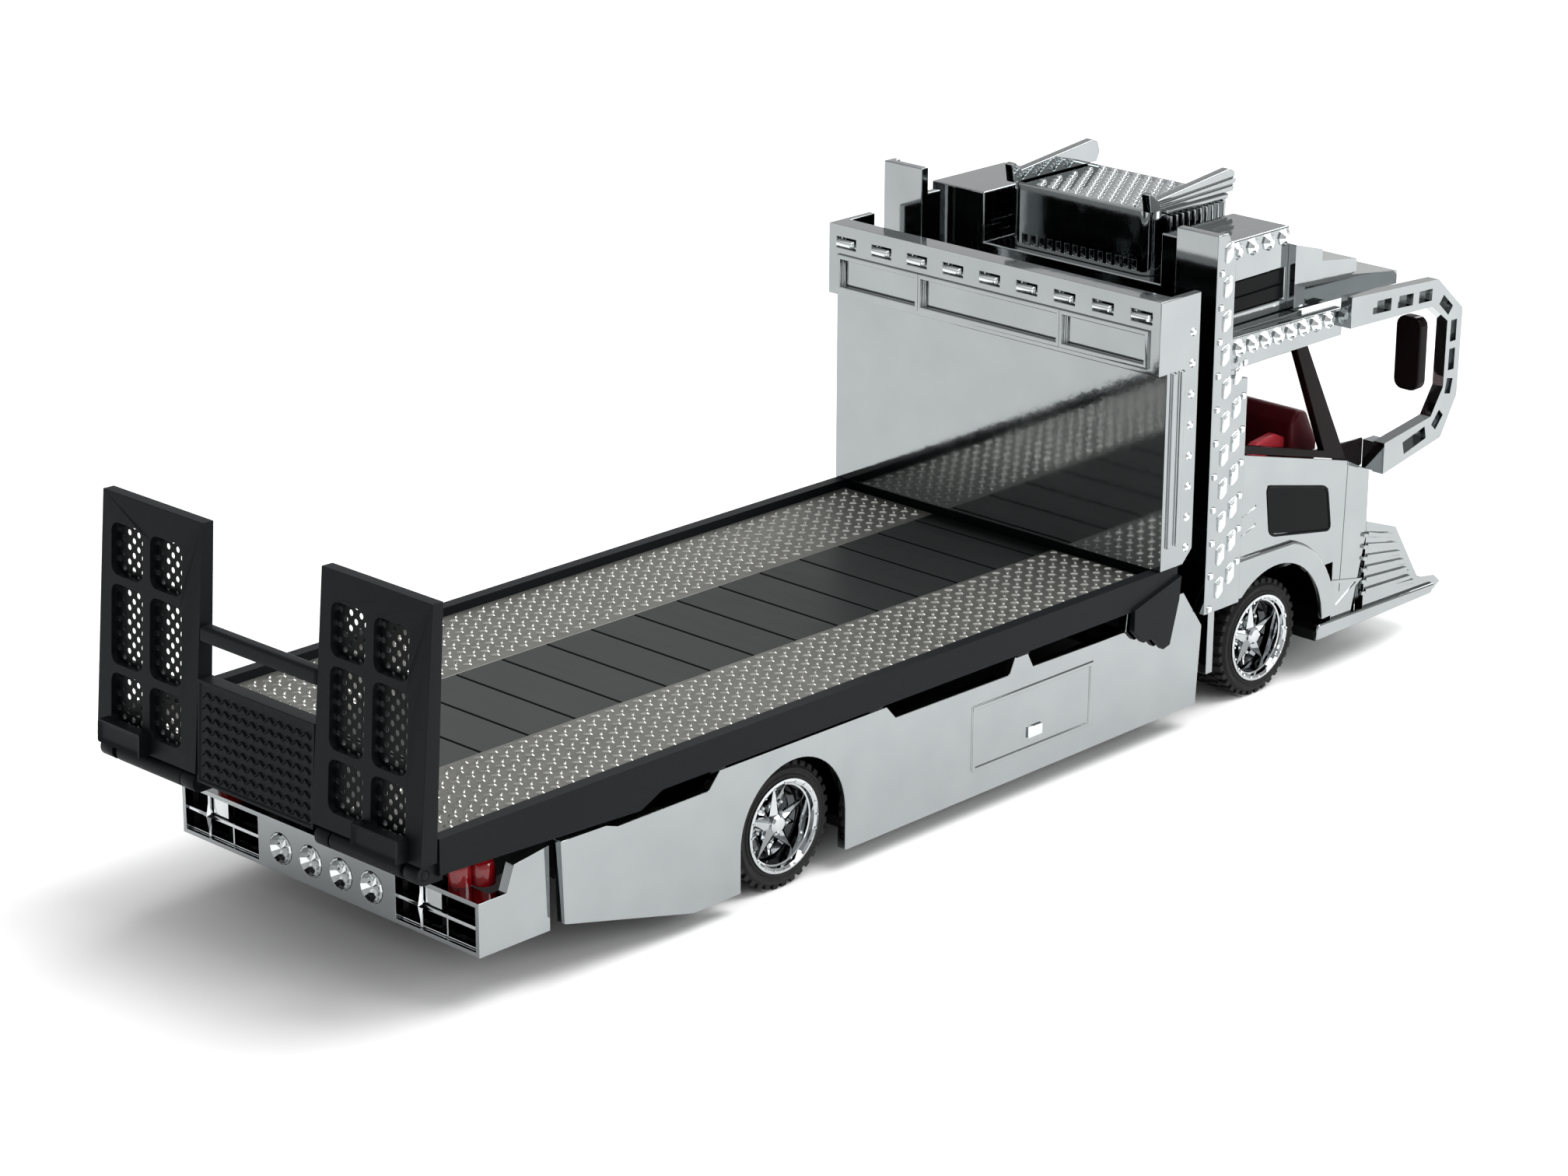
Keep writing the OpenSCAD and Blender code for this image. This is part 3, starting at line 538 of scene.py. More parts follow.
for side, sign in sides:
    node = "track_" + side
    low, high = span(node)
    softCopy(node, node + "_plate", "track_plate", tread["edge"], 2)
    pitchX, pitchY = tread["pitchX"], tread["pitchY"]
    columns = int((high.x - low.x - 2 * tread["border"]) / pitchX)
    rows = int((high.y - low.y - 2 * tread["border"]) / pitchY)
    startX = (low.x + high.x - (columns - 0.5) * pitchX) / 2 - 0.2
    startY = (low.y + high.y - (rows - 0.5) * pitchY) / 2 - 0.15
    crossed = []
    for turn, shift in ((-tread["turn"], 0.25), (tread["turn"], 0.75)):
        dash = moved(makeDash(turn * sign), (startX + shift * pitchX, startY + shift * pitchY, high.z))
        arrayed(dash, columns, (pitchX, 0, 0))
        arrayed(dash, rows, (0, pitchY, 0))
        crossed.append(dash)
    dress(joined(crossed, node + "_dashes"), "bright_dashes", "bed")
trackLow, boardLow = span("track_left")[0], span("headboard")[0]
sillPiece = addBox("deck_front_sill", (boardLow.x + sill["rear"], -sill["half"], trackLow.z - sill["under"]),
                   (boardLow.x + sill["front"], sill["half"], boardLow.z + sill["over"]))
roundEdges(sillPiece, sill["edge"], 2)
dress(sillPiece, "black_paint", "bed")
print("tread tracks made")

# ramps: framed leaves with round-cornered windows, punched mesh and hinge feet, built upright
ramp = {"inner": 6.85, "outer": 19.0, "bottom": 0.9, "top": 20.8, "thick": 1.6, "lean": 3.5,
        "stile": 1.8, "middle": 0.95, "corner": 0.75, "edge": 0.13, "tip": (0.55, 0, -0.05),
        "rows": ((2.4, 6.56), (7.3, 13.75), (14.5, 18.66))}
punched = {"thick": 0.1, "holeR": 0.25, "holeX": 0.56, "holeZ": 1.17, "lap": 0.1, "early": (0.2, 0.6)}
rampFoot = {"low": (-1.9, 12.4, 0.9), "high": (-0.7, 17.6, 2.8), "rim": 0.35, "deep": 0.25, "edge": 0.12}
rampBarrel = {"radius": 0.8, "start": 8.75, "long": 7.9, "edge": 0.08}
hinge = next(j for j in frame["joints"] if j["name"] == "ramp_fold")["pos_m"]
leanTurn = Matrix.Translation(Vector(hinge)) @ turnAbout("Y", ramp["lean"])


def rampWindows():
    # low y, high y, low z and high z of a leaf's six windows
    wide = (ramp["outer"] - ramp["inner"] - 2 * ramp["stile"] - ramp["middle"]) / 2
    firstY = ramp["inner"] + ramp["stile"]
    return [(firstY + shift, firstY + shift + wide, lowZ, highZ)
            for lowZ, highZ in ramp["rows"] for shift in (0, wide + ramp["middle"])]


def makePunched(lowY, highY, lowZ, highZ):
    # one punched cell, arrayed in staggered rows, cut to the window and given its thickness
    pitchX, pitchZ, (earlyY, earlyZ) = punched["holeX"], punched["holeZ"], punched["early"]
    deselect()
    bpy.ops.mesh.primitive_grid_add(x_subdivisions=2, y_subdivisions=4, size=1)
    bpy.context.object.scale = (pitchX * mm, pitchZ * mm, 1)
    cell = settle(bpy.context.object, "mesh")
    choose(cell, "VERT", lambda at: abs(at.x) < 0.01 and abs(at.y) < pitchZ * 0.4)
    bpy.ops.mesh.delete(type="VERT")
    bpy.ops.mesh.primitive_circle_add(vertices=12, radius=punched["holeR"] * mm)
    bpy.ops.mesh.select_all(action="SELECT")
    bpy.context.tool_settings.mesh_select_mode = selectModes["EDGE"]
    bpy.ops.mesh.select_all(action="SELECT")
    bpy.ops.mesh.bridge_edge_loops()
    leave()
    arrayed(cell, 2, (pitchX, pitchZ / 2, 0))
    arrayed(cell, int((highY - lowY) / pitchX / 2) + 2, (2 * pitchX, 0, 0))
    arrayed(cell, int((highZ - lowZ) / pitchZ) + 3, (0, pitchZ, 0))
    # stand it up in the YZ plane, then trim it to the window
    cell.data.transform(Matrix(((0, 0, 1, 0), (1, 0, 0, (lowY - earlyY) * mm),
                                (0, 1, 0, (lowZ - earlyZ) * mm), (0, 0, 0, 1))))
    for place, normal in (((0, lowY, 0), (0, -1, 0)), ((0, highY, 0), (0, 1, 0)),
                          ((0, 0, lowZ), (0, 0, -1)), ((0, 0, highZ), (0, 0, 1))):
        everything(cell)
        bpy.ops.mesh.bisect(plane_co=Vector(place) * mm, plane_no=normal, clear_outer=True)
        leave()
    everything(cell)
    bpy.ops.mesh.remove_doubles(threshold=0.01 * mm)
    bpy.ops.mesh.extrude_region_move(TRANSFORM_OT_translate={"value": (punched["thick"] * mm, 0, 0)})
    return moved(faceOutwards(cell), (-punched["thick"], 0, 0))


def makeLeaf(name):
    # a plate with six round-cornered windows, its tip cut back at the rear, on a foot and a barrel
    half, top = ramp["thick"] / 2, ramp["top"]
    leaf = addBox(name, (-half, ramp["inner"], ramp["bottom"]), (half, ramp["outer"], top))
    cutters = []
    for lowY, highY, lowZ, highZ in rampWindows():
        cutter = addBox("window", (-2, lowY, lowZ), (2, highY, highZ))
        cutCorners(cutter, lambda a, b: abs(a.x - b.x) > 1, ramp["corner"], 4)
        cutters.append(cutter)
    carve(leaf, cutters)
    pull(leaf, lambda at: at.z > top - 0.01 and at.x < 0, ramp["tip"])
    roundEdges(leaf, ramp["edge"], 2, 40)
    foot = addBox("foot", rampFoot["low"], rampFoot["high"])
    recess(foot, facing("x", -1), (rampFoot["rim"], -rampFoot["deep"]))
    roundEdges(foot, rampFoot["edge"], 2)
    leaf = joined([leaf, foot], name)
    leaf.data.transform(leanTurn)
    # the barrel turns on the hinge pin, between the knuckles of the bed
    long = rampBarrel["long"]
    barrel = turned("barrel", [(rampBarrel["radius"], 0), (rampBarrel["radius"], long)], 32)
    moved(barrel, (hinge[0] / mm, rampBarrel["start"] + long, hinge[2] / mm), rightTurn)
    roundEdges(barrel, rampBarrel["edge"], 1)
    return joined([leaf, barrel], name)


def makeSheet(name):
    lap = punched["lap"]
    cells = [makePunched(lowY - lap, highY + lap, lowZ - lap, highZ + lap)
             for lowY, highY, lowZ, highZ in rampWindows()]
    sheet = joined(cells, name)
    sheet.data.transform(leanTurn)
    return sheet


leaf, sheet = makeLeaf("ramp_left_leaf"), makeSheet("ramp_left_mesh")
pairs = {"left": (leaf, sheet),
         "right": (mirrored(leaf, "ramp_right_leaf"), mirrored(sheet, "ramp_right_mesh"))}
for side, (leaf, sheet) in pairs.items():
    smooth(leaf)
    dress(leaf, "black_paint", "ramps", replaced=["ramp_" + side])
    dress(sheet, "black_mesh", "ramps", replaced=["ramp_mesh_" + side])
softCopy("ramp_bar", "ramp_bar_round", "black_paint", 0.3, 3)
print("ramps made")

# chevron panel between the ramps: rows of slanted ridges in a grooved frame
chevron = {"rear": -0.66, "front": 0.8, "bottom": 0.3, "top": 8.6, "rim": 0.25, "groove": (0.08, -0.1),
           "edge": 0.06, "pitchY": 1.05, "pitchZ": 0.92, "long": 0.72, "wide": 0.2, "high": 0.16,
           "slope": 38, "taper": (1, 0.75, 0.4), "margin": 0.5, "firstX": -0.56, "firstZ": 1.0}
panelHalf = span("ramp_panel")[1].y
panel = addBox("ramp_panel_plate", (chevron["rear"], -panelHalf, chevron["bottom"]),
               (chevron["front"], panelHalf, chevron["top"]))
recess(panel, facing("x", -1), (chevron["rim"], 0), chevron["groove"])
roundEdges(panel, chevron["edge"], 2)
ridges = []
pitchY, halfLong, halfWide = chevron["pitchY"], chevron["long"] / 2, chevron["wide"] / 2
count = int(2 * (panelHalf - chevron["margin"]) / pitchY)
levels = int((chevron["top"] - chevron["firstZ"] - 0.6) / chevron["pitchZ"]) + 1
for slope, shift in ((chevron["slope"], -0.25), (-chevron["slope"], 0.25)):
    ridge = addBox("ridge", (-chevron["high"], -halfLong, -halfWide), (0.02, halfLong, halfWide))
    drawIn(ridge, facing("x", -1), chevron["taper"])
    startY = (shift - (count - 1) / 2) * pitchY
    moved(ridge, (chevron["firstX"], startY, chevron["firstZ"]), turnAbout("X", slope))
    arrayed(ridge, count, (0, pitchY, 0))
    arrayed(ridge, levels, (0, 0, chevron["pitchZ"]))
    ridges.append(ridge)
panel = joined([panel] + ridges, "ramp_panel_plate")
panel.data.transform(leanTurn)
smooth(panel)
dress(panel, "black_paint", "ramps", replaced=["ramp_panel"])
print("chevron panel made")

# headboard: mirror board with framed panels, a band of oblong lamps and studded cheeks
headboard = {"edge": 0.1, "band": 6.5, "panels": ((8.6, 17.4), (-7.7, 7.7), (-17.4, -8.6)),
             "frameWide": 0.45, "frameOut": 0.22, "frameIn": 0.1, "frameReach": 0.55,
             "frameLow": 0.45, "frameHigh": 3.85, "frameEdge": 0.08}
bandLamp = {"long": 2.1, "high": 0.8, "out": 0.45, "taper": (1, 0.86, 0.5), "edge": 0.14,
            "count": 9, "drop": 1.6}
cheekStud = {"profile": ((0.42, 0), (0.3864, 0.12), (0.231, 0.28)), "sides": 8, "count": 8,
             "pitch": 2.75, "drop": 3.4, "fromFront": 0.9, "fromSide": 0.36}
low, high = span("headboard")
softCopy("headboard", "headboard_shell", "bright_plating", headboard["edge"], 2)


def makeFrame(lowY, highY):
    # a block bored through from face to face
    bottom, reach = high.z - headboard["band"], headboard["frameReach"]
    border = addBox("frame", (low.x - headboard["frameOut"], lowY - reach, bottom + headboard["frameLow"]),
                    (low.x + headboard["frameIn"], highY + reach, bottom + headboard["frameHigh"]))
    choose(border, "FACE", lambda at, normal: abs(normal.x) > 0.9)
    bpy.ops.mesh.inset(thickness=headboard["frameWide"] * mm)
    bpy.ops.mesh.delete(type="FACE")
    bpy.context.tool_settings.mesh_select_mode = selectModes["EDGE"]
    bpy.ops.mesh.select_all(action="DESELECT")
    bpy.ops.mesh.select_non_manifold()
    bpy.ops.mesh.bridge_edge_loops()
    faceOutwards(border)
    roundEdges(border, headboard["frameEdge"], 2)
    return border


frames = joined([makeFrame(*panelSpan) for panelSpan in headboard["panels"]], "headboard_frames")
smooth(frames)
dress(frames, "bright_plating", "bed")
lampLow, lampHigh = span("band_lamp_strip")
halfLong, halfHigh = bandLamp["long"] / 2, bandLamp["high"] / 2
lampStep = (lampHigh.y - lampLow.y - bandLamp["long"]) / (bandLamp["count"] - 1)
pill = addBox("pill", (-bandLamp["out"], -halfLong, -halfHigh), (0.1, halfLong, halfHigh))
drawIn(pill, facing("x", -1), bandLamp["taper"])
roundEdges(pill, bandLamp["edge"], 3, 20)
lamps = scattered(pill, "headboard_lamps", [
    (low.x + 0.02, lampLow.y + halfLong + i * lampStep, high.z - bandLamp["drop"])
    for i in range(bandLamp["count"])])
smooth(lamps, 25)
dress(lamps, "lamp_reflector", "bed", replaced=["band_lamp_strip"])
studs = scattered(turned("stud", cheekStud["profile"], cheekStud["sides"]), "headboard_studs", [
    (high.x - cheekStud["fromFront"], sign * (high.y - cheekStud["fromSide"]),
     high.z - cheekStud["drop"] - i * cheekStud["pitch"], turn)
    for sign, turn in outwards for i in range(cheekStud["count"])])
dress(studs, "lamp_reflector", "bed")
print("headboard made")

# corner columns: slanted tread bumps, in two rows below and one above
column = {"pitch": 3.02, "first": 1.9, "wideBelow": 31, "edge": 0.1,
          "large": {"long": 1.5, "wide": 0.82, "high": 0.3, "slant": 0.5},
          "small": {"long": 0.55, "wide": 0.5, "high": 0.22, "slant": 0.1}}


def makeBump(long, wide, high, slant):
    # a slanted block with a smaller, flat, bright top
    bump = addBox("bump", (-wide / 2, -0.05, -long / 2), (wide / 2, high, long / 2))
    drawIn(bump, facing("y"), (0.72, 1, 0.8))
    pull(bump, lambda at: at.x > 0, (0, 0, slant))
    roundEdges(bump, 0.07, 2, 20)
    return bump


low, high = span("corner_column_left")
pitch = column["pitch"]
largePlaces, smallPlaces = [], []
for i in range(int((high.z - low.z - 3) / pitch) + 1):
    level = low.z + column["first"] + i * pitch
    wide = level < column["wideBelow"]
    largePlaces.append((low.x + (1.8 if wide else 1.45), high.y, level))
    smallPlaces.append((low.x + 0.6, high.y, level - pitch / 2))
    if wide:
        largePlaces.append((low.x + 3.3, high.y, level + pitch / 2 - 0.55))
        smallPlaces.append((low.x + 4.25, high.y, level + pitch - 1.0))
bumps = joined([scattered(makeBump(**column["large"]), "large", largePlaces),
                scattered(makeBump(**column["small"]), "small", smallPlaces)], "corner_column_left_bumps")
for piece in (bumps, mirrored(bumps, "corner_column_right_bumps")):
    node = piece.name.removesuffix("_bumps")
    softCopy(node, node + "_shell", "tread_plating", column["edge"], 2)
    smooth(piece, 25)
    dress(piece, "lamp_reflector", "chassis")
print("corner columns made")

# roof: padded box with air slots, finned rails, rosettes and the platform's dark inserts
roof = {"corner": 1.3, "rim": 0.5, "groove": (0.12, -0.12), "edge": 0.14, "slots": 14, "slotPitch": 0.97}
pad = {"low": (-0.3, -0.36, -0.1), "high": (0.3, 0.36, 0.22), "top": (0.7, 0.75, 1), "edge": 0.07,
       "rows": 10, "columns": 9}
fin = {"rear": ((0.3, 0), (0, 1.7), (0.5, 1.8), (1.3, 1.0)), "grooves": ((0.25, 0.55), (0.6, 1.25)),
       "front": ((-1.0, 2.1), (-0.3, 1.8), (0, 0.9), (-0.4, 0)), "inset": 0.35, "half": 0.45, "deep": 0.16,
       "edge": 0.1}
slat = {"long": 0.55, "half": 0.24, "taper": (0.4, 1, 0.92), "count": 10, "pitch": 0.82, "out": 0.14, "edge": 0.06}
low, high = span("roof_box")
box = addBox("roof_box_shell", low, high)
cutCorners(box, lambda a, b: max(a.x, b.x) < low.x + 0.1 and abs(a.z - b.z) > 1, roof["corner"], 6)
recess(box, facing("z"), (roof["rim"], 0), roof["groove"])
slots = addBox("slots", (low.x - 0.5, low.y + 1.6, low.z + 0.35), (low.x + 0.35, low.y + 2.1, low.z + 1.25))
arrayed(slots, roof["slots"], (0, roof["slotPitch"], 0))
carve(box, [slots])
roundEdges(box, roof["edge"], 2)
smooth(box)
dress(box, "bright_plating", "chassis", replaced=["roof_box"])
padPiece = addBox("pad", pad["low"], pad["high"])
drawIn(padPiece, facing("z"), pad["top"])
roundEdges(padPiece, pad["edge"], 2, 20)
stepX = (high.x - low.x - 1.8) / (pad["columns"] - 1)
stepY = (high.y - low.y - 3.2) / pad["rows"]
pads = scattered(padPiece, "roof_box_pads", [
    (low.x + 1.0 + i * stepX, low.y + 1.75 + (j + 0.5 * (i % 2)) * stepY, high.z - 0.1)
    for i in range(pad["columns"]) for j in range(pad["rows"])])
smooth(pads, 25)
dress(pads, "lamp_reflector", "chassis")
finLow, finHigh = span("roof_box_fins")
outline = ([(finLow.x + x, high.z + z) for x, z in fin["rear"]]
           + [(finHigh.x + x, high.z + z) for x, z in fin["front"]])
middle = high.y - fin["inset"]
outFace = middle + fin["half"]
finPiece = addPlate("fin", outline, middle - fin["half"], outFace)
startX, endX = finLow.x + 1.6, finHigh.x + 1
carve(finPiece, [addPlate("groove", [
    (startX, high.z + rear), (endX, high.z + front),
    (endX, high.z + front + fin["deep"]), (startX, high.z + rear + fin["deep"])],
    outFace - fin["deep"], outFace + 1) for rear, front in fin["grooves"]])
roundEdges(finPiece, fin["edge"], 2)
slatPiece = addBox("slat", (low.x + 2.0, -slat["half"], low.z + 1.0),
                   (low.x + 2.0 + slat["long"], slat["half"], high.z - 0.5))
drawIn(slatPiece, facing("y"), slat["taper"])
roundEdges(slatPiece, slat["edge"], 2)
arrayed(slatPiece, slat["count"], (slat["pitch"], 0, 0))
moved(slatPiece, (0, high.y + slat["out"], 0))
lip = addBox("lip", (low.x + 1.6, high.y - 0.2, high.z - 0.42), (high.x - 0.2, high.y + 0.42, high.z + 0.02))
roundEdges(lip, 0.12, 2)
rails = bothSides(joined([finPiece, slatPiece, lip], "roof_box_rails"), "roof_box_rails")
smooth(rails)
dress(rails, "bright_plating", "chassis", replaced=["roof_box_fins"])

rosettes = {"beam_rosettes": {"radius": 0.78, "count": 8}, "platform_rosettes": {"radius": 0.8, "count": 4}}


def makeRosette(radius, high=0.5, facets=8):
    # a faceted lamp: stepped rim, then a cone of facets up to a bright centre
    return turned("rosette", [(radius, -0.05), (radius, high * 0.3), (radius * 0.82, high * 0.55),
                              (radius * 0.74, high * 0.3), (radius * 0.42, high),
                              (radius * 0.2, high * 1.05)], facets)


for node, rosette in rosettes.items():
    low, high = span(node)
    step = (high.x - low.x - 1.6) / (rosette["count"] - 1)
    lamps = scattered(makeRosette(rosette["radius"]), node + "_faceted", [
        (low.x + 0.8 + i * step, sign * (high.y - 0.55), (low.z + high.z) / 2, turn)
        for sign, turn in outwards for i in range(rosette["count"])])
    dress(lamps, "lamp_reflector", "chassis", replaced=[node])
low, high = span("roof_platform")
insert = addBox("insert", (low.x + 1.4, high.y - 0.36, low.z + 1.15), (high.x - 0.5, high.y - 0.08, low.z + 3.85))
carve(insert, [addBox("groove", (low.x, high.y - 0.2, low.z + 2.4), (high.x, high.y + 0.2, low.z + 2.55))])
roundEdges(insert, 0.06, 2)
inserts = bothSides(insert, "roof_platform_inserts")
smooth(inserts)
dress(inserts, "dark_glazing", "chassis")
print("roof made")

# rear bumper: lamp clusters with a bright cross, four round lamps and the red side domes
cluster = {"wide": 9, "cross": 2.7, "barHalf": 0.16, "barDeep": 0.7, "cell": (0.3, -0.35),
           "star": {"points": 4, "outerR": 1.5, "innerR": 0.3, "high": 0.3}}
tail = {"radius": 1.3, "count": 4, "facets": 14,
        "profile": ((1.3, 0), (1.3, 1.1), (1.17, 1.2), (1.014, 1.0), (0.585, 0.55), (0.26, 0.75)),
        "star": {"points": 7, "outerR": 0.91, "innerR": 0.39, "high": 0.28}}
dome = {"radius": 0.95, "places": ((0, 1.1), (1.32, 0)),
        "profile": ((0.95, 0), (0.95, 1.2), (0.88, 1.65), (0.66, 2.0), (0.35, 2.17), (0.1, 2.2))}


def makeStar(points, outerR, innerR, high):
    # a flat star whose centre is lifted, so each arm has a ridge and two facets
    deselect()
    bpy.ops.mesh.primitive_circle_add(vertices=2 * points, radius=outerR * mm)
    star = settle(bpy.context.object, "star")
    quarter = math.pi / 2
    choose(star, "VERT", lambda at: round((math.atan2(at.y, at.x) - quarter) * points / math.pi) % 2 == 1)
    bpy.ops.transform.resize(value=(innerR / outerR, innerR / outerR, 1))
    bpy.ops.mesh.select_all(action="SELECT")
    bpy.ops.mesh.edge_face_add()
    bpy.ops.mesh.extrude_region_move(TRANSFORM_OT_translate={"value": (0, 0, 0.3 * mm)})
    bpy.ops.mesh.poke(offset=high * mm)
    return faceOutwards(star)


softCopy("rear_bumper", "rear_bumper_shell", "bright_plating", 0.13, 2)
low, high = span("lamp_cells")
inner, outer = high.y - cluster["wide"], high.y
backPlate = addBox("back", (low.x + 0.55, inner, low.z), (high.x, outer, high.z))
choose(backPlate, "FACE", facing("x", -1))
bpy.ops.mesh.subdivide(number_cuts=1)
cellRim, cellDepth = cluster["cell"]
bpy.ops.mesh.inset(thickness=cellRim * mm, depth=cellDepth * mm, use_individual=True)
leave()
backs = bothSides(backPlate, "lamp_cluster_backs")
dress(backs, "dark_glazing", "chassis")
midZ, crossY, half = (low.z + high.z) / 2, outer - cluster["cross"], cluster["barHalf"]
deepX = low.x + cluster["barDeep"]
bars = [addBox("bar", (low.x, inner, midZ - half), (deepX, outer, midZ + half)),
        addBox("bar", (low.x, crossY - half, low.z), (deepX, crossY + half, high.z)),
        addBox("bar", (low.x + 0.2, inner, low.z), (deepX, outer, low.z + 0.14))]
for bar in bars:
    roundEdges(bar, 0.07, 2)
bars.append(moved(makeStar(**cluster["star"]), (low.x + 0.3, crossY, midZ), rearward))
bars.append(addBox("facet", (low.x + 0.25, crossY - 2.1, midZ + 0.25), (deepX, crossY - 0.3, high.z - 0.1)))
bars.append(addBox("divider", (low.x + 0.15, crossY - 2.9, low.z), (deepX, crossY - 2.75, midZ)))
cross = joined(bars, "lamp_cluster_bars")
otherCross = copied(cross, "otherCross", Matrix.Translation((0, -(inner + outer) * mm, 0)))
cross = joined([cross, otherCross], "lamp_cluster_bars")
dress(cross, "lamp_reflector", "chassis", replaced=["lamp_cells"])
low, high = span("round_tail_lamps")
burst = moved(makeStar(**tail["star"]), (0, 0, 0.5))
dish = joined([turned("dish", tail["profile"], tail["facets"]), burst], "dish")
step = (high.y - low.y - 2 * tail["radius"]) / (tail["count"] - 1)
tails = scattered(dish, "round_tail_lamps_faceted", [
    (high.x, low.y + tail["radius"] + i * step, (low.z + high.z) / 2, rearward) for i in range(tail["count"])])
dress(tails, "lamp_reflector", "chassis", replaced=["round_tail_lamps"])
low, high = span("red_side_lamps")
domes = scattered(turned("dome", dome["profile"], 24), "red_side_domes", [
    (low.x + dome["radius"] + dx, sign * (high.y - dome["radius"] - dy), low.z)
    for side, sign in sides for dx, dy in dome["places"]])
smooth(domes, 40)
dress(domes, "red_lens", "chassis", replaced=["red_side_lamps"])
print("rear bumper made")

# cab: panelled shell, fender flares, low windows, side ribs, headlamps and mirror arms
# a cut is given by its start, its end (x from the shell's front or rear, and z) and its width
cab = {"seam": ((-3.7, 7.5), (-3.3, 19.6), 0.14), "edge": 0.1, "deep": 0.12,
       "vents": (((2.6, 18.0), (5.1, 18.7), 0.26), ((2.6, 16.3), (5.1, 17.0), 0.26))}
flare = {"out": 0.42, "archR": 7.2, "outerR": 9.2, "foot": 10.7, "top": 14.4, "corner": 0.34, "edge": 0.08}
wheelLow, wheelHigh = span("front_tyre_right")
wheelX, wheelZ = (wheelLow.x + wheelHigh.x) / 2, (wheelLow.z + wheelHigh.z) / 2
cabLow, cabHigh = span("cab_shell")
sideY = cabHigh.y
cuts = [(cabHigh.x, cab["seam"])] + [(cabLow.x, vent) for vent in cab["vents"]]
cutters = []
for side, sign in sides:
    near, far = sorted((sign * (sideY - cab["deep"]), sign * (sideY + 1)))
    for fromX, ((x0, z0), (x1, z1), wide) in cuts:
        cutters.append(addPlate("cut", slotOutline((fromX + x0, z0), (fromX + x1, z1), wide), near, far))
shell = freshCopy("cab_shell", "cab_shell_panels")
carve(shell, cutters)
roundEdges(shell, cab["edge"], 2, 40)
smooth(shell)
dress(shell, "bright_plating", "chassis", replaced=["cab_shell"])


def arc(radius, start, end, steps):
    # points round the front wheel, the angles in degrees from straight ahead
    angles = [math.radians(start + i * (end - start) / steps) for i in range(steps + 1)]
    return [(wheelX + radius * math.cos(a), wheelZ + radius * math.sin(a)) for a in angles]


def flareRim(a, b):
    # the outer edges of the flare, but not those round the arch itself
    nearest = min(math.hypot(p.x - wheelX, p.z - wheelZ) for p in (a, b))
    return min(a.y, b.y) > sideY + 0.3 and (a.z + b.z) / 2 > 7 and nearest > flare["archR"] + 0.4


startX = span("corner_column_right")[1].x + 0.05
flareOutline = ([(startX, flare["foot"]), (startX, flare["top"]), (startX + 3.45, flare["top"] - 0.05)]
                + arc(flare["outerR"], 74, 2, 14) + arc(flare["archR"], 2, 132, 20))
flarePiece = addPlate("fender_flares", flareOutline, sideY - 0.05, sideY + flare["out"])
cutCorners(flarePiece, flareRim, flare["corner"], 3)
roundEdges(flarePiece, flare["edge"], 2, 40)
flares = bothSides(flarePiece, "fender_flares")
smooth(flares)
dress(flares, "bright_plating", "chassis")

lowWindow = {"rearTop": 20.3, "frontTop": 18.2, "frontFoot": 13.7, "rearFoot": 15.3, "corner": 0.75,
             "rim": (0.16, 0), "glass": (0.1, -0.08)}
low, high = span("low_door_windows")
pane = addPlate("low_window_panes", [
    (low.x - 0.2, lowWindow["rearTop"]), (high.x - 0.6, lowWindow["frontTop"]),
    (high.x + 0.2, lowWindow["frontFoot"]), (low.x + 0.5, lowWindow["rearFoot"])], sideY - 0.3, sideY + 0.06)
cutCorners(pane, lambda a, b: abs(a.y - b.y) > 0.1, lowWindow["corner"], 4)
recess(pane, facing("y"), lowWindow["rim"], lowWindow["glass"])
panes = bothSides(pane, "low_window_panes")
smooth(panes)
dress(panes, "dark_glazing", "chassis", replaced=["low_door_windows"])

rib = {"count": 6, "top": 12.5, "pitch": 1.12, "reach": 3.6, "grow": 0.85, "taper": (0.98, 1, 0.7)}
vent = {"outline": ((-5.2, 8.9), (-0.4, 8.0), (-4.6, 5.8)), "rim": (0.3, 0), "hole": (0.06, -0.3)}
bumperFront = span("front_bumper")[1].x
trims = []
for i in range(rib["count"]):
    top, reach = rib["top"] - i * rib["pitch"], rib["reach"] + i * rib["grow"]
    ribPiece = addPlate("rib", [(cabHigh.x - 0.6, top), (cabHigh.x + reach, top - 1.15),
                                (cabHigh.x + reach, top - 1.6), (cabHigh.x - 0.6, top - 0.45)],
                        sideY - 0.1, sideY + 0.22)
    drawIn(ribPiece, facing("y"), rib["taper"])
    trims.append(ribPiece)
ventPiece = addPlate("vent", [(cabHigh.x + x, z) for x, z in vent["outline"]], sideY - 0.1, sideY + 0.12)
recess(ventPiece, facing("y"), vent["rim"], vent["hole"])
sillBar = addPlate("sill", [(wheelX + 6.6, 3.7), (bumperFront - 1.8, 3.85), (bumperFront - 1.3, 4.8),
                            (wheelX + 6.8, 5.2)], sideY - 0.1, sideY + 0.42)
roundEdges(sillBar, 0.2, 3)
trims = bothSides(joined(trims + [ventPiece, sillBar], "side_ribs"), "side_ribs")
smooth(trims)
dress(trims, "bright_plating", "chassis")

headlamp = {"profile": ((1.15, 0), (1.15, 0.7), (1.0, 0.88), (0.85, 0.7), (0.45, 0.5), (0.2, 0.8)),
            "across": (13.4, 16, -13.4, -16)}
low, high = span("headlamps")
heads = scattered(turned("lens", headlamp["profile"], 16), "headlamps_faceted", [
    (low.x, y, (low.z + high.z) / 2, forward) for y in headlamp["across"]])
dress(heads, "lamp_reflector", "chassis", replaced=["headlamps"])

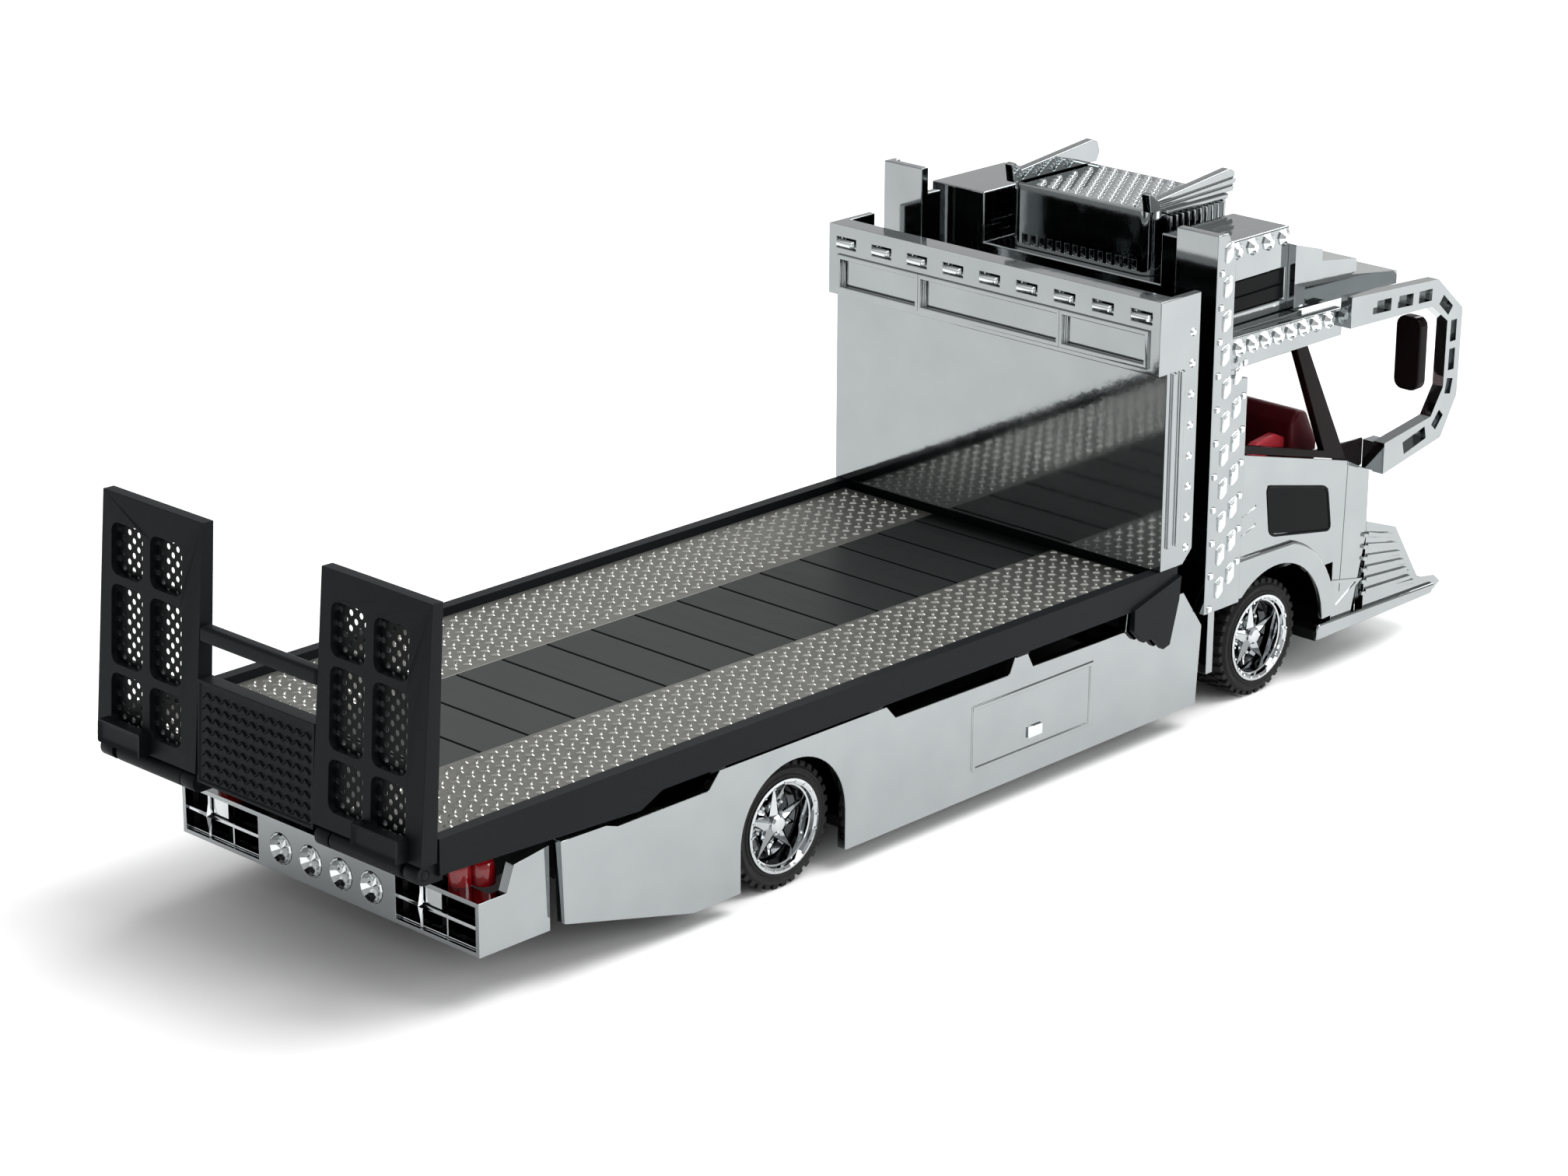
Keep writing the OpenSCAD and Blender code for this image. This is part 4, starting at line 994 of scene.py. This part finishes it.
# slots in the arm: start and end, x from its root and z, and the slot's width
mirrorArm = {"slots": (((3.2, 34.45), (5.9, 34.3), 1.15), ((6.9, 34.25), (9.2, 34.1), 1.1),
                       ((10.1, 34.05), (12.1, 33.95), 1.1), ((13.6, 33.2), (15.1, 31.9), 1.0),
                       ((15.75, 30.9), (15.7, 28.9), 0.9), ((15.7, 28.2), (15.65, 26.2), 0.9),
                       ((15.6, 25.4), (15.3, 24.0), 0.9), ((14.5, 22.4), (13.4, 21.2), 0.9),
                       ((12.2, 21.0), (8.9, 20.2), 1.2)), "deep": 0.75, "edge": 0.12}
mirrorGlass = {"rear": 10.9, "front": 12.3, "inner": 3.0, "outer": 0.3, "bottom": 24.9, "top": 31.8,
               "corner": 0.9, "rim": (0.25, -0.12), "edge": 0.3}
low, high = span("mirror_arm_left")
arm = freshCopy("mirror_arm_left", "mirror_arm_left_slotted")
carve(arm, [addPlate("slot", slotOutline((low.x + x0, z0), (low.x + x1, z1), wide),
                     high.y - mirrorArm["deep"], high.y + 1)
            for (x0, z0), (x1, z1), wide in mirrorArm["slots"]])
roundEdges(arm, mirrorArm["edge"], 2)
glass = addBox("mirror_left_housing",
               (low.x + mirrorGlass["rear"], high.y - mirrorGlass["inner"], mirrorGlass["bottom"]),
               (low.x + mirrorGlass["front"], high.y - mirrorGlass["outer"], mirrorGlass["top"]))
cutCorners(glass, lambda a, b: abs(a.x - b.x) > 1, mirrorGlass["corner"], 4)
recess(glass, facing("x", -1), mirrorGlass["rim"])
roundEdges(glass, mirrorGlass["edge"], 3, 50)
pairs = {"left": (arm, glass),
         "right": (mirrored(arm, "mirror_arm_right_slotted"), mirrored(glass, "mirror_right_housing"))}
for side, (arm, glass) in pairs.items():
    smooth(arm)
    smooth(glass, 50)
    dress(arm, "bright_plating", "chassis", replaced=["mirror_arm_" + side])
    dress(glass, "dark_trim", "chassis", replaced=["mirror_" + side])
print("cab made")

# interior: bucket seats with door bolsters, steering wheel, a dark lining painted as shade inside the cab, and
# mirror fairings
seat = {"across": 6.1, "half": 3.5, "rim": (1.1, 0), "well": (0.5, -0.5), "edge": 0.5}
bolster = {"curve": ((4.5, 20.0), (5.6, 21.7), (7.6, 22.8), (10.2, 23.1), (12.2, 22.2), (13.2, 20.4),
                     (12.1, 20.4), (11.3, 21.3), (9.8, 21.9), (8.0, 21.6), (6.7, 20.7), (6.2, 19.7)),
           "inner": 14.3, "outer": 15.3, "edge": 0.25}
low, high = span("seats")
nearY, farY = seat["across"] - seat["half"], seat["across"] + seat["half"]
base = addBox("base", (low.x + 0.8, nearY, low.z), (high.x, farY, 16))
back = addBox("back", (low.x, nearY, 15.4), (low.x + 2.2, farY, high.z))
for part, axis in ((base, "z"), (back, "x")):
    recess(part, facing(axis), seat["rim"], seat["well"])
    roundEdges(part, seat["edge"], 3)
bolsterPiece = addPlate("bolster", [(low.x + x, z) for x, z in bolster["curve"]],
                        bolster["inner"], bolster["outer"])
roundEdges(bolsterPiece, bolster["edge"], 3)
seats = bothSides(joined([base, back, bolsterPiece], "bucket_seats"), "bucket_seats")
smooth(seats, 50)
dress(seats, "red_interior", "chassis", replaced=["seats"])

steering = {"rimR": 2.0, "rimThick": 0.33, "back": 0.6, "across": -6.1, "level": 19.3, "lean": 62,
            "hub": ((0.55, -0.1), (0.7, 0.15), (0.5, 0.4)), "post": ((0.4, 0), (0.45, 2.6)), "spokes": 3}
seatZ = low.z
low, high = span("steering_wheel")
deselect()
bpy.ops.mesh.primitive_torus_add(major_radius=steering["rimR"] * mm, minor_radius=steering["rimThick"] * mm,
                                 major_segments=40, minor_segments=12)
wheelParts = [settle(bpy.context.object, "steering_wheel_rim"), turned("post", steering["post"], 12),
              turned("hub", steering["hub"], 16)]
for i in range(steering["spokes"]):
    spoke = addBox("spoke", (0.3, -0.22, 0), (1.9, 0.22, 0.3))
    drawIn(spoke, facing("x"), (1, 0.6, 0.7))
    wheelParts.append(moved(spoke, (0, 0, 0), turnAbout("Z", 90 + i * 360 / steering["spokes"])))
steeringWheel = joined(wheelParts, "steering_wheel_rim")
moved(steeringWheel, ((low.x + high.x) / 2 - steering["back"], steering["across"], steering["level"]),
      turnAbout("Y", steering["lean"]))
smooth(steeringWheel, 45)
dress(steeringWheel, "red_interior", "chassis", replaced=["steering_wheel"])

hood = {"curve": ((12.8, 19.6), (13.1, 24.0), (14.0, 25.0), (15.4, 24.6), (17.0, 21.6), (17.0, 19.6)),
        "half": 16.0, "edge": 0.4}
doorLining = {"inner": 16.35, "outer": 16.75, "bottom": 13.8, "top": 19.5, "rim": (1.3, 0), "panel": (0.3, -0.2)}
floorLining = addBox("floor", (cabLow.x + 1.2, -10.5, seatZ - 0.3), (cabHigh.x - 6, 10.5, seatZ - 0.05))
rearLining = addBox("rear", (cabLow.x + 0.85, -16.3, 13.8), (cabLow.x + 1.15, 16.3, 31))
hoodPiece = addPlate("hood", [(cabLow.x + x, z) for x, z in hood["curve"]], -hood["half"], hood["half"])
roundEdges(hoodPiece, hood["edge"], 3)
door = addBox("door", (cabLow.x + 1.2, doorLining["inner"], doorLining["bottom"]),
              (cabHigh.x - 3.5, doorLining["outer"], doorLining["top"]))
recess(door, facing("y", -1), doorLining["rim"], doorLining["panel"])
armrest = addBox("armrest", (cabLow.x + 4, 15.2, 16.0), (cabHigh.x - 8, 16.4, 17.2))
roundEdges(armrest, 0.4, 3)
doors = bothSides(joined([door, armrest], "doors"), "doors")
lining = joined([floorLining, rearLining, hoodPiece, doors], "cab_lining")
smooth(lining, 50)
# the lining is painted dark red, standing in for the shade inside the cab
dress(lining, "painted_shade_lining", "chassis")

# the fairing joins each mirror arm to the foot of its pillar
fairing = {"outline": ((0.6, 21.6), (6.2, 21.3), (6.2, 18.7), (3.6, 18.4)), "inner": 17.7, "edge": 0.15}
armLow = span("mirror_arm_left")[0]
fairingPiece = addPlate("fairing", [(armLow.x + x, z) for x, z in fairing["outline"]],
                        fairing["inner"], armLow.y - 0.1)
roundEdges(fairingPiece, fairing["edge"], 2)
fairings = bothSides(fairingPiece, "mirror_fairings")
smooth(fairings)
dress(fairings, "dark_trim", "chassis")
print("interior made")

# wheels: treaded tyres and dished rims with a five-armed star, all turned about Z and then seated
wheel = {"tyreR": 5.4, "wide": 4.8, "rimR": 3.95, "arms": 5, "nutRing": 1.75, "bolts": 20}
block = {"low": (-0.3, -0.04, -0.52), "high": (0.3, 0.36, 0.52), "taper": (0.84, 1, 0.9), "slant": 0.12,
         "proud": 0.26, "round": 34, "rows": (0.75, 1.85, 2.95, 4.05)}


def ringOf(count, radius, height, start=0):
    angles = [math.radians(start + 360 * i / count) for i in range(count)]
    return [(radius * math.sin(a), radius * math.cos(a), height) for a in angles]


def makeTyre(name):
    # a carcass with sidewall rings, then rows of tread blocks
    r, w, bead = wheel["tyreR"] - block["proud"], wheel["wide"], wheel["rimR"] + 0.02
    carcass = turned(name, [
        (bead, w - 0.05), (bead + 0.25, w), (bead + 0.35, w - 0.12), (bead + 0.6, w - 0.1), (bead + 0.7, w),
        (r - 0.35, w), (r - 0.1, w - 0.3), (r, w - 0.6), (r, 0.6), (r - 0.35, 0), (bead - 0.25, 0.05)],
        72, True, True)
    blockPiece = addBox("block", block["low"], block["high"])
    drawIn(blockPiece, facing("y"), block["taper"])
    pull(blockPiece, lambda at: at.z > 0, (block["slant"], 0, 0))
    lift = Matrix.Translation((0, (r - 0.12) * mm, 0))
    blocks = scattered(blockPiece, "blocks", [
        (0, 0, height, turnAbout("Z", 360 * (i + 0.5 * (row % 2)) / block["round"]) @ lift)
        for row, height in enumerate(block["rows"]) for i in range(block["round"])])
    return joined([carcass, blocks], name)


def makeRim(name):
    # bright stepped lip, two stars of arms, hub, nuts and bead bolts
    r, w, arms = wheel["rimR"], wheel["wide"], wheel["arms"]
    lipRing = turned(name, [
        (r - 0.25, 0.1), (r - 0.1, w - 0.7), (r, w - 0.4), (r, w + 0.1), (r - 0.22, w + 0.14), (r - 0.42, w),
        (r - 0.5, w - 0.35), (r - 0.62, w - 0.4), (r - 0.72, w - 1.2)], 64, True, True)
    front = moved(makeStar(arms, r - 0.62, 0.95, 0.55), (0, 0, w - 1.35))
    behind = moved(makeStar(arms, r - 0.8, 1.1, 0.25), (0, 0, w - 1.9), turnAbout("Z", 180 / arms))
    hub = turned("hub", [(0.85, w - 1.2), (0.8, w - 0.6), (0.6, w - 0.42), (0.3, w - 0.36)], 10)
    nut = turned("nut", [(0.2, 0), (0.2, 0.45), (0.12, 0.55)], 6)
    nuts = scattered(nut, "nuts", ringOf(arms, wheel["nutRing"], w - 1.75, 180 / arms))
    bolt = turned("bolt", [(0.11, 0), (0.11, 0.18), (0.06, 0.24)], 6)
    bolts = scattered(bolt, "bolts", ringOf(wheel["bolts"], r - 0.24, w + 0.02))
    return joined([lipRing, front, behind, hub, nuts, bolts], name)


def makeDish(name):
    # the disc behind the stars, with a raised ring round the hub; its plating is painted near black as the shade
    # deep inside the wheel
    r, w = wheel["rimR"], wheel["wide"]
    return turned(name, [(r - 0.3, w - 2.3), (r - 0.74, w - 1.8), (r - 1.2, w - 2.1), (1.5, w - 2.2),
                         (1.3, w - 1.8), (0.9, w - 1.8)], 64)


tyrePattern, rimPattern, dishPattern = makeTyre("tyrePattern"), makeRim("rimPattern"), makeDish("dishPattern")
for axle in ("rear", "front"):
    for side, sign, turn in (("left", 1, leftTurn), ("right", -1, rightTurn)):
        tyreNode, rimNode = "%s_tyre_%s" % (axle, side), "%s_rim_%s" % (axle, side)
        low, high = span(tyreNode)
        innerFace = low.y if sign > 0 else high.y
        seated = Matrix.Translation(Vector(((low.x + high.x) / 2, innerFace, (low.z + high.z) / 2)) * mm) @ turn
        tyre = copied(tyrePattern, tyreNode + "_tread", seated)
        smooth(tyre, 30)
        dress(tyre, "tyre_rubber", axle + "_wheels", replaced=[tyreNode])
        rim = copied(rimPattern, rimNode + "_star", seated)
        smooth(rim, 24)
        dress(rim, "wheel_plating", axle + "_wheels", replaced=[rimNode])
        # the dish gets the dark plating: painted shade deep inside the wheel
        dish = copied(dishPattern, rimNode + "_dish", seated)
        smooth(dish, 24)
        dress(dish, "painted_shade_plating", axle + "_wheels")
for pattern in (tyrePattern, rimPattern, dishPattern):
    bpy.data.objects.remove(pattern)
print("wheels made")

# floor, light and camera, in metres
studio = {"floorSize": 6, "paper": ((0.86, 0.86, 0.86), (0.88, 0.88, 0.88)), "paperRough": 0.75,
          "sky": ((0.0, 0.9), (0.3, 0.75), (0.55, 0.5), (0.75, 1.0)), "skyStrength": 0.85}
softLights = {                                      # name: (place, aimed at, size, watts)
    "softTop": ((0.22, -0.28, 0.7), (0.0, 0.0, 0.0), 0.5, 6.0),
    "softRight": ((0.25, -0.8, 0.4), (0.0, 0.0, 0.02), 0.4, 3.0),
    "softBack": ((0.75, 0.2, 0.5), (0.0, 0.0, 0.02), 0.4, 4.0)}
view = {"place": (-0.24842, -0.23313, 0.13549), "azimuth": 43.794, "elevation": 19.432, "roll": 0.268,
        "lens": 97.36, "sensor": 36, "nearest": 0.01}
deselect()
bpy.ops.mesh.primitive_plane_add(size=studio["floorSize"])
floor = bpy.context.object
floor.name = "floor"
paper = Shader("paleFloor")
floor.data.materials.append(paper.finish({
    "Base Color": paper.blend(paper.noise(30), *studio["paper"]), "Roughness": studio["paperRough"]}))

bpy.context.scene.world = bpy.data.worlds.new("studio")
sky = Shader("studio", bpy.context.scene.world, "Generated")
height = sky.make("ShaderNodeSeparateXYZ", inputs={"Vector": sky.place}, output="Z")
glow = sky.make("ShaderNodeValToRGB", {"stops": studio["sky"]}, {0: height})
background = sky.make("ShaderNodeBackground", inputs={"Color": glow, "Strength": studio["skyStrength"]})
sky.make("ShaderNodeOutputWorld", inputs={"Surface": background})

for name, (place, aim, size, watts) in softLights.items():
    deselect()
    bpy.ops.object.light_add(type="AREA", location=place)
    light = bpy.context.object
    light.name = name
    light.data.size = size
    light.data.energy = watts
    light.rotation_euler = (Vector(aim) - Vector(place)).to_track_quat("-Z", "Y").to_euler()

azimuth, elevation, roll = (math.radians(view[key]) for key in ("azimuth", "elevation", "roll"))
level = math.cos(elevation)
backward = Vector((-math.cos(azimuth) * level, -math.sin(azimuth) * level, math.sin(elevation)))
rightward = Vector((math.sin(azimuth), -math.cos(azimuth), 0))
upward = backward.cross(rightward)
rolledRight = math.cos(roll) * rightward + math.sin(roll) * upward
rolledUp = -math.sin(roll) * rightward + math.cos(roll) * upward
cameraData = bpy.data.cameras.new("camera")
cameraData.lens = view["lens"]
cameraData.sensor_width = view["sensor"]
cameraData.clip_start = view["nearest"]
camera = bpy.data.objects.new("camera", cameraData)
bpy.context.scene.collection.objects.link(camera)
turnedView = Matrix((rolledRight, rolledUp, backward)).transposed().to_4x4()
camera.matrix_world = Matrix.Translation(view["place"]) @ turnedView
bpy.context.scene.camera = camera
bpy.context.scene.view_settings.view_transform = "Standard"
print("floor, light and camera set")
